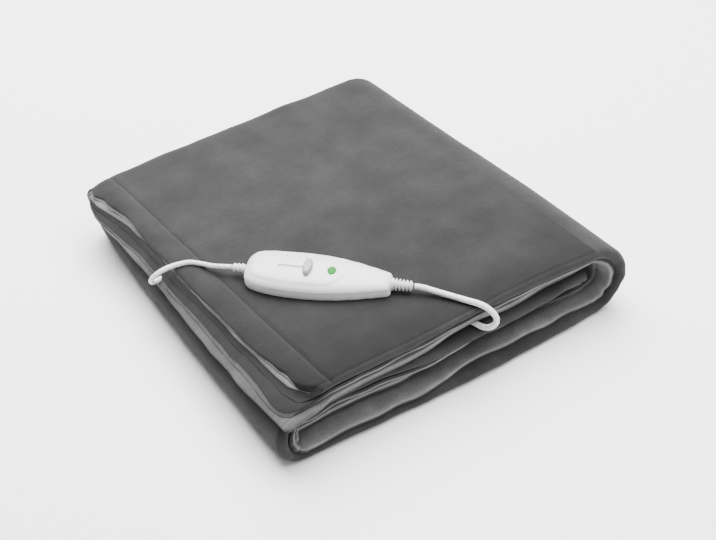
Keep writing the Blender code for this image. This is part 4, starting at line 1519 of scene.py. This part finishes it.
    def cover(self, finish: bpy.types.Material) -> bpy.types.Object:
        """The upper shell, with its raised face, the slot and the lamp's seat."""
        x = self.shell_places()
        width, _ = self.profile(x)
        turn = np.linspace(0.0, math.pi, 49)
        rings = []
        for at, half in zip(x, width):
            y = half * np.sign(np.cos(turn)) * np.abs(np.cos(turn)) ** 0.75
            z = self.top_z(np.full(len(y), at), y) + self.joint
            lip = np.array([[at, self.lip - half, self.parting + self.joint],
                            [at, half - self.lip, self.parting + self.joint]])
            ring = np.concatenate([np.stack([np.full(len(y), at), y, z], axis=1), lip])
            rings.append(ring + np.array([0.0, self.bow(at), 0.0]))
        made = self.turned("hand_control_cover", np.array(rings), finish, 50.0)
        return self.cut_openings(made, finish)

    def cut_openings(self, body: bpy.types.Object,
                     finish: bpy.types.Material) -> bpy.types.Object:
        """Cuts the button's slot and the lamp's seat out of the upper shell."""
        low, high, half, slot_floor = self.slot
        caps = np.linspace(-0.5 * math.pi, 0.5 * math.pi, 7)
        aside = self.row_aside
        slot = [(high - half + half * math.cos(a), aside + half * math.sin(a)) for a in caps]
        slot += [(low + half - half * math.cos(a), aside - half * math.sin(a)) for a in caps]
        ring = np.linspace(0.0, 2.0 * math.pi, 32, endpoint=False)
        wide, deep = self.seat_radii
        lamp = [(self.lamp_at + wide * math.cos(a), aside + deep * math.sin(a)) for a in ring]
        tools = [self.prism(name, outline, floor, floor + 9.0, finish)
                 for name, outline, floor in (("slot_tool", slot, slot_floor),
                                              ("lamp_tool", lamp, self.seat_floor))]
        for tool in tools:
            cut = body.modifiers.new(tool.name, "BOOLEAN")
            cut.operation = "DIFFERENCE"
            cut.solver = "EXACT"
            cut.object = tool
        made = baked(body, "hand_control_cover")
        for tool in tools:
            bpy.data.objects.remove(tool, do_unlink=True)
        return made

    def prism(self, name: str, outline: list[tuple[float, float]], low: float, high: float,
              finish: bpy.types.Material) -> bpy.types.Object:
        """A closed prism over an outline, in the hand control's axes."""
        rings = np.array([[(x, y, z) for x, y in outline] for z in (low, high)])
        return self.turned(name, rings, finish, 40.0)

    def base(self, finish: bpy.types.Material) -> bpy.types.Object:
        """The lower shell: it turns in under the parting line to a flat foot."""
        x = self.shell_places()
        width, _ = self.profile(x)
        turn = np.linspace(0.0, 0.5 * math.pi, 9)
        rings = []
        low = self.parting - self.joint
        for at, half in zip(x, width):
            round_in = min(2.6, 0.3 * half)
            side_y = half - round_in + round_in * np.cos(turn) ** 0.8
            side_z = low - low * np.sin(turn) ** 1.15
            inset = np.array([half - self.lip])
            ys = np.concatenate([-inset, -side_y, side_y[::-1], inset])
            zs = np.concatenate([[low], side_z, side_z[::-1], [low]])
            rings.append(np.stack([np.full(len(ys), at), ys + self.bow(at), zs], axis=1))
        return self.turned("hand_control_base", np.array(rings), finish, 50.0)

    def knob(self, finish: bpy.types.Material) -> bpy.types.Object:
        """The slide button: a pointed oval with a dished top, on a stem in the slot."""
        # The button's underside stands a little clear of the raised face at its highest.
        floor = 20.2 + self.face_rise + 0.3
        turn = np.linspace(0.0, 2.0 * math.pi, 48, endpoint=False)
        rings = []
        for size, z in ((0.42, -3.4), (0.42, 0.0), (0.96, 0.0), (1.0, 0.5), (0.985, 1.6),
                        (0.95, 2.6), (0.88, 3.4), (0.78, 3.95), (0.62, 4.2), (0.42, 4.1),
                        (0.2, 3.95)):
            half_x, half_y = (half * size for half in self.knob_half)
            if z < 0.5 and size < 0.9:
                half_x, half_y = self.stem_half
            x = self.knob_at + half_x * np.cos(turn)
            y = self.row_aside + half_y * np.sin(turn)
            ridge = 0.45 * np.cos(turn) * (size if z > 1.0 else 0.0)
            rings.append(np.stack([x, y, np.full(len(turn), floor + z) + ridge], axis=1))
        return self.turned("slide_button", np.array(rings), finish, 55.0)

    def lens(self, finish: bpy.types.Material) -> bpy.types.Object:
        """The lamp's lens: a low oval dome in its seat."""
        turn = np.linspace(0.0, 2.0 * math.pi, 32, endpoint=False)
        wide, deep = self.lens_radii
        rings = []
        for size, z in ((1.0, 0.2), (1.0, 2.4), (0.94, 2.75), (0.8, 3.0), (0.55, 3.18),
                        (0.25, 3.25)):
            rings.append(np.stack([self.lamp_at + wide * size * np.cos(turn),
                                   self.row_aside + deep * size * np.sin(turn),
                                   np.full(len(turn), self.seat_floor + z)], axis=1))
        return self.turned("lamp_lens_dome", np.array(rings), finish, 40.0)

    def ticks(self, finish: bpy.types.Material) -> bpy.types.Object:
        """The plain setting marks beside the slot, laid out by Geometry Nodes."""
        tool = NodeTool("setting_marks")
        tool.take("NodeSocketInt", "Count")
        tool.take("NodeSocketFloat", "Pitch")
        tool.take("NodeSocketVector", "Mark size")
        tree, start = tool.tree, tool.start
        step = add_node(tree, "ShaderNodeCombineXYZ", {}, {0: start.outputs["Pitch"]})
        row = add_node(tree, "GeometryNodeMeshLine", {"mode": "OFFSET"},
                       {"Count": start.outputs["Count"], "Offset": step.outputs[0]})
        mark = add_node(tree, "GeometryNodeMeshCube", {}, {"Size": start.outputs["Mark size"]})
        laid = add_node(tree, "GeometryNodeInstanceOnPoints", {},
                        {"Points": row.outputs[0], "Instance": mark.outputs[0]})
        tool.end(laid.outputs[0])
        made = tool.run(line_mesh("marks", np.zeros((0, 3))), "setting_marks",
                        {"Count": self.marks, "Pitch": self.mark_pitch * MM,
                         "Mark size": tuple(side * MM for side in self.mark_size),
                         "Material": finish})
        x, y = self.marks_at
        z = float(self.top_z(np.array([x + self.mark_pitch]), np.array([y]))[0]) + 0.05
        tilt = Matrix.Rotation(math.radians(self.mark_tilt), 4, "X")
        made.data.transform(self.axes() @ Matrix.Translation(Vector((x, y, z)) * MM) @ tilt)
        return made

    def build(self) -> None:
        """Builds the hand control and puts its pieces on their bodies."""
        white = Moulded("white_satin_abs", "cacaca", "c4c4c5", 0.34).material()
        # The lower shell is the same white ABS, with painted light: lighter for its shaded skirt.
        white_with_painted_light = Moulded("pale_satin_abs", "e4e4e4", "dcdcdd", 0.36).material()
        grey = Moulded("grey_button_abs", "909092", "88888a", 0.42).material()
        ink = Moulded("pale_grey_pad_print", "8c8c8e", "868688", 0.5).material()
        lens = LitLens().material()
        pieces = (
            (self.cover(white), THROW, "control_cover", "white_abs"),
            (self.base(white_with_painted_light), THROW, "control_base", "white_abs"),
            (self.knob(grey), SLIDER, "switch_knob", "white_abs"),
            (self.lens(lens), THROW, "lamp_lens", "green_lens"),
            (self.ticks(ink), THROW, "", "white_abs"),
        )
        for piece, body, node, slot in pieces:
            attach(piece, body)
            if node:
                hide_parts(node)
            LOG.info("hand control: %s", piece.name)


# ---- the leads --------------------------------------------------------------------------


@dataclass
class RibbedSleeve:
    """A flexible sleeve with rings round it, where a lead leaves the hand control."""

    name: str
    node: str
    # 1 at the mains end, -1 at the blanket end
    side: float
    # distance out from the shell, and radius there
    rows: tuple[tuple[float, float], ...]
    # how many rings, how far out the first one is, their pitch, and the first and last radius
    rings: int
    first: float
    pitch: float
    ring_radius: tuple[float, float]
    height: float
    ring_thickness: float = 0.85

    def build(self, control: HandControl, finish: bpy.types.Material) -> bpy.types.Object:
        """Builds the sleeve's core as a turned shape, and its rings by Geometry Nodes.

        Args:
            control: the hand control that it is fitted to.
            finish: its material.
        Returns:
            The finished piece.
        """
        turn = np.linspace(0.0, 2.0 * math.pi, 32, endpoint=False)
        rings = []
        for out, radius in self.rows:
            x = self.side * (control.half_length + out)
            rings.append(np.stack([np.full(len(turn), x), radius * np.cos(turn),
                                   self.height + radius * np.sin(turn)], axis=1))
        points = np.array(rings).reshape(-1, 3)
        faces = closed_faces(len(rings), len(turn), flip=self.side > 0)
        core = mesh_piece(self.name, points * MM, faces, finish)
        made = self.ring_row(core, control.half_length + self.first, finish)
        made.data.transform(control.axes())
        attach(made, THROW)
        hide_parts(self.node)
        return made

    def ring_row(self, core: bpy.types.Object, first_out: float,
                 finish: bpy.types.Material) -> bpy.types.Object:
        """Adds the rings, which get smaller towards the lead.

        Args:
            core: the sleeve's core, which is used up.
            first_out: how far the first ring lies from the hand control's middle.
            finish: the sleeve's material.
        Returns:
            The sleeve with its rings.
        """
        tool = NodeTool("sleeve_rings")
        tool.take("NodeSocketFloat", "First ring", "Ring pitch", "Ring radius", "Shrink",
                  "Ring thickness", "Axis height")
        tool.take("NodeSocketInt", "Count")
        tree, start = tool.tree, tool.start
        step = add_node(tree, "ShaderNodeCombineXYZ", {}, {0: start.outputs["Ring pitch"]})
        first = add_node(tree, "ShaderNodeCombineXYZ", {},
                         {0: start.outputs["First ring"], 2: start.outputs["Axis height"]})
        row = add_node(tree, "GeometryNodeMeshLine", {"mode": "OFFSET"},
                       {"Count": start.outputs["Count"], "Start Location": first.outputs[0],
                        "Offset": step.outputs[0]})
        circle = add_node(tree, "GeometryNodeCurvePrimitiveCircle", {"Resolution": 32},
                          {"Radius": start.outputs["Ring radius"]})
        wire = add_node(tree, "GeometryNodeCurvePrimitiveCircle", {"Resolution": 10},
                        {"Radius": start.outputs["Ring thickness"]})
        ring = add_node(tree, "GeometryNodeCurveToMesh", {},
                        {"Curve": circle.outputs[0], "Profile Curve": wire.outputs[0]})
        upright = add_node(tree, "GeometryNodeTransform",
                           {"Rotation": (0.0, math.pi / 2.0, 0.0)}, {0: ring.outputs[0]})
        index = add_node(tree, "GeometryNodeInputIndex", {}, {})
        fade = add_node(tree, "ShaderNodeMath", {"operation": "MULTIPLY"},
                        {0: index.outputs[0], 1: start.outputs["Shrink"]})
        size = add_node(tree, "ShaderNodeMath", {"operation": "SUBTRACT", 0: 1.0},
                        {1: fade.outputs[0]})
        across = add_node(tree, "ShaderNodeCombineXYZ", {0: 1.0},
                          {1: size.outputs[0], 2: size.outputs[0]})
        laid = add_node(tree, "GeometryNodeInstanceOnPoints", {},
                        {"Points": row.outputs[0], "Instance": upright.outputs[0],
                         "Scale": across.outputs[0]})
        both = add_node(tree, "GeometryNodeJoinGeometry", {}, {})
        tree.links.new(start.outputs[0], both.inputs[0])
        tree.links.new(laid.outputs[0], both.inputs[0])
        tool.end(both.outputs[0])
        low, high = self.ring_radius
        return tool.run(core, self.name,
                        {"First ring": self.side * first_out * MM,
                         "Ring pitch": self.side * self.pitch * MM,
                         "Ring radius": low * MM,
                         "Shrink": (1.0 - high / low) / (self.rings - 1),
                         "Ring thickness": self.ring_thickness * MM,
                         "Axis height": self.height * MM,
                         "Count": self.rings, "Material": finish})


@dataclass
class Leads:
    """The lead into the throw, and the mains lead with its stored length and its plug."""

    form: RollForm
    thin: float = 5.0
    thick: float = 6.0
    # how far apart the rings of a lead's mesh lie, for each lead, and their points
    thin_step: float = 2.5
    thick_step: float = 4.0
    sides: int = 16
    # the last point lies in the hem, where the lead is sewn in
    blanket_route: tuple[Point, ...] = (
        (-139.9, -15.4, 85.7), (-145.8, -9.0, 84.8), (-151.5, 2.0, 81.2),
        (-156.5, 14.0, 78.3), (-165.0, 24.5, 77.4), (-179.0, 29.5, 77.0),
        (-191.5, 31.0, 76.0), (-199.8, 33.0, 71.5), (-202.4, 36.0, 65.5),
        (-200.2, 39.0, 59.5), (-194.4, 41.5, 56.5), (-187.0, 43.5, 55.5),
    )
    mains_route: tuple[Point, ...] = (
        (-16.9, -146.5, 88.4), (-11.0, -152.8, 87.7), (-2.6, -163.3, 85.6),
        (4.8, -175.4, 85.0), (13.0, -189.8, 84.9), (20.3, -203.1, 84.7),
        (25.3, -213.0, 79.5), (27.3, -217.0, 72.0), (25.0, -215.0, 64.5),
        (21.5, -207.5, 59.0), (18.5, -196.0, 58.0), (15.0, -180.0, 57.8),
        (11.0, -150.0, 57.45), (8.0, -120.0, 57.1), (6.0, -103.0, 56.0),
        (0.0, -91.0, 54.2), (-10.0, -83.4, 53.4),
    )
    tail_route: tuple[Point, ...] = (
        (57.0, -11.0, 53.4), (66.0, -9.5, 53.4), (75.0, -3.5, 53.5), (79.5, 6.0, 53.5),
        (78.5, 16.5, 53.5), (72.0, 25.0, 53.4), (62.0, 29.0, 53.3), (51.4, 29.0, 53.2),
    )
    # the stored length: its middle, its straight run, and each turn's radius and height
    hank_centre: tuple[float, float] = (-11.5, -44.0)
    hank_run: float = 95.0
    hank_radii: tuple[float, ...] = (33.0, 27.0, 21.0, 21.0, 27.0, 33.0)
    hank_levels: tuple[float, ...] = (3.6, 3.6, 3.6, 9.8, 9.8, 9.8)

    def pocket_z(self, x: float, y: float) -> float:
        """The height of the cloth that the stored lead lies on."""
        form = self.form
        return float(form.height(x, y) * form.middle_share - form.dent_below(x, y))

    def hank_line(self) -> list[Point]:
        """The centreline of the stored length: flat turns, three across and two high."""
        cx, cy = self.hank_centre
        half = self.hank_run / 2.0
        points = []
        turns = len(self.hank_radii)
        for turn, (radius, level) in enumerate(zip(self.hank_radii, self.hank_levels)):
            last = turn == turns - 1
            after = self.hank_radii[min(turn + 1, turns - 1)]
            after_level = self.hank_levels[min(turn + 1, turns - 1)]
            loop = [(cx + x, -radius) for x in ((-20.0, -35.0) if turn == 0 else
                                                (20.0, 0.0, -20.0, -35.0))]
            arc = np.linspace(-0.5 * math.pi, 0.5 * math.pi, 9)
            loop += [(cx - half - radius * math.cos(a), radius * math.sin(a)) for a in arc]
            loop += [(cx + x, radius) for x in (-30.0, -10.0, 10.0, 30.0)]
            if not last:
                arc = arc[::-1]
                shares = (arc[0] - arc) / math.pi
                loop += [(cx + half + mix(radius, after, s) * math.cos(a),
                          mix(radius, after, s) * math.sin(a)) for a, s in zip(arc, shares)]
            for k, (x, y) in enumerate(loop):
                rise = max(0.0, (k - len(loop) + 9) / 8.0) if not last else 0.0
                z = mix(level, after_level, rise)
                points.append((x, cy + y, self.pocket_z(x, cy + y) + z))
        return points

    def mains_line(self) -> np.ndarray:
        """The mains lead's whole centreline, in the part's frame."""
        points = list(self.mains_route) + self.hank_line() + list(self.tail_route)
        return part_points(through(points, self.thick_step))

    def build(self, control: HandControl) -> None:
        sheath = TwistedPvc("white_pvc_lead", "d0d0d1", "c4c4c6", 13.0).material()
        rubber = Moulded("white_soft_pvc", "cacacb", "c2c2c4", 0.45).material()
        nickel = Nickel().material()
        blanket = part_points(through(list(self.blanket_route), self.thin_step))
        thin = tube_piece("blanket_lead_tube", blanket, self.thin / 2.0 * MM, self.sides, sheath)
        mains = self.mains_line()
        thick = tube_piece("mains_lead_tube", mains, self.thick / 2.0 * MM, self.sides, sheath)
        for piece, nodes in ((thin, ("blanket_lead",)),
                             (thick, ("mains_lead", "mains_lead_hank", "mains_lead_tail"))):
            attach(piece, THROW)
            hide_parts(*nodes)
        plug = [bpy.data.objects[n] for n in ("mains_plug", "plug_pin_a", "plug_pin_b")]
        for node, finish in zip(plug, (rubber, nickel, nickel)):
            node.data.materials.clear()
            node.data.materials.append(finish)
        small = RibbedSleeve("blanket_side_sleeve", "blanket_sleeve", -1.0,
                             ((0.2, 3.9), (4.0, 3.7), (9.0, 3.5), (12.6, 3.3), (13.2, 2.9)),
                             3, 3.2, 3.9, (4.0, 3.7), 9.5).build(control, rubber)
        large = RibbedSleeve("mains_side_relief", "mains_relief", 1.0,
                             ((0.2, 6.2), (2.6, 6.0), (3.2, 4.2), (12.0, 3.9), (19.6, 3.6),
                              (21.0, 3.3)),
                             5, 5.0, 3.5, (5.3, 4.5), 7.6).build(control, rubber)
        LOG.info("leads: %s, %s, mains run %.2f m", small.name, large.name, cord_length(mains))


def cord_length(line: np.ndarray) -> float:
    """The length of a line in metres, to a millimetre."""
    return round(float(run_along(line)[-1]), 3)


# ---- the studio -------------------------------------------------------------------------


@dataclass
class Studio:
    """The camera at the photo's angle, soft lights and a plain pale floor."""

    azimuth: float = -36.5
    elevation: float = 39.6
    distance: float = 1.590
    target: Point = (-0.0012, -0.03423, 0.030)
    focal_pixels: float = 1547.0
    image_width: float = 716.0
    sensor_width: float = 36.0
    # half the floor's side, and how far it lies under the throw
    floor_half: float = 6.0
    floor_drop: float = 0.0004
    # each soft light's name, place, size in metres and power in watts; they look at the aim
    lights: tuple[tuple[str, Point, float, float], ...] = (
        ("back_softbox", (0.35, 0.9, 2.0), 2.3, 262.0),
        ("top_softbox", (0.6, -0.4, 2.5), 2.6, 150.0),
        ("front_fill", (0.7, -2.2, 0.5), 1.4, 25.0),
    )
    aim: Point = (0.0, 0.0, 0.04)

    def camera(self) -> None:
        """Makes the scene's camera."""
        a, e = math.radians(self.azimuth), math.radians(self.elevation)
        back = Vector((math.sin(a) * math.cos(e), -math.cos(a) * math.cos(e), math.sin(e)))
        right = Vector((math.cos(a), math.sin(a), 0.0))
        up = back.cross(right)
        data = bpy.data.cameras.new("camera")
        data.sensor_width = self.sensor_width
        data.lens = self.focal_pixels * self.sensor_width / self.image_width
        made = placed("camera", data)
        turn = Matrix((right, up, back)).transposed().to_4x4()
        made.matrix_world = Matrix.Translation(Vector(self.target) + back * self.distance) @ turn
        bpy.context.scene.camera = made

    def light(self, name: str, place: Point, size: float, power: float) -> None:
        """A square soft light that looks at the throw."""
        data = bpy.data.lights.new(name, "AREA")
        data.size = size
        data.energy = power
        made = placed(name, data)
        made.location = place
        way = Vector(self.aim) - Vector(place)
        made.rotation_euler = way.to_track_quat("-Z", "Y").to_euler()

    def floor(self) -> None:
        """The plain pale floor."""
        finish, shader = new_material("matt_white_board")
        shader.inputs["Base Color"].default_value = linear("e8e8e8")
        shader.inputs["Roughness"].default_value = 0.9
        half, z = self.floor_half, -self.floor_drop
        corners = np.array([(-half, -half, z), (half, -half, z), (half, half, z), (-half, half, z)])
        mesh_piece("floor", corners, [(0, 1, 2, 3)], finish)

    def build(self) -> None:
        """Builds the studio."""
        self.floor()
        world = bpy.data.worlds.new("studio")
        world.use_nodes = True
        sky = world.node_tree.nodes["Background"]
        sky.inputs["Color"].default_value = (1.0, 1.0, 1.0, 1.0)
        sky.inputs["Strength"].default_value = 0.5
        bpy.context.scene.world = world
        for name, place, size, power in self.lights:
            self.light(name, place, size, power)


def main() -> None:
    """Builds the camera, the cords, the control and the throw, in that order."""
    logging.basicConfig(level=logging.INFO, format="%(name)s: %(message)s")
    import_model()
    form = RollForm()
    studio = Studio()
    studio.camera()
    control = HandControl(form)
    Leads(form).build(control)
    control.build()
    FoldedThrow(form).build()
    studio.build()


if __name__ == "__main__":
    main()
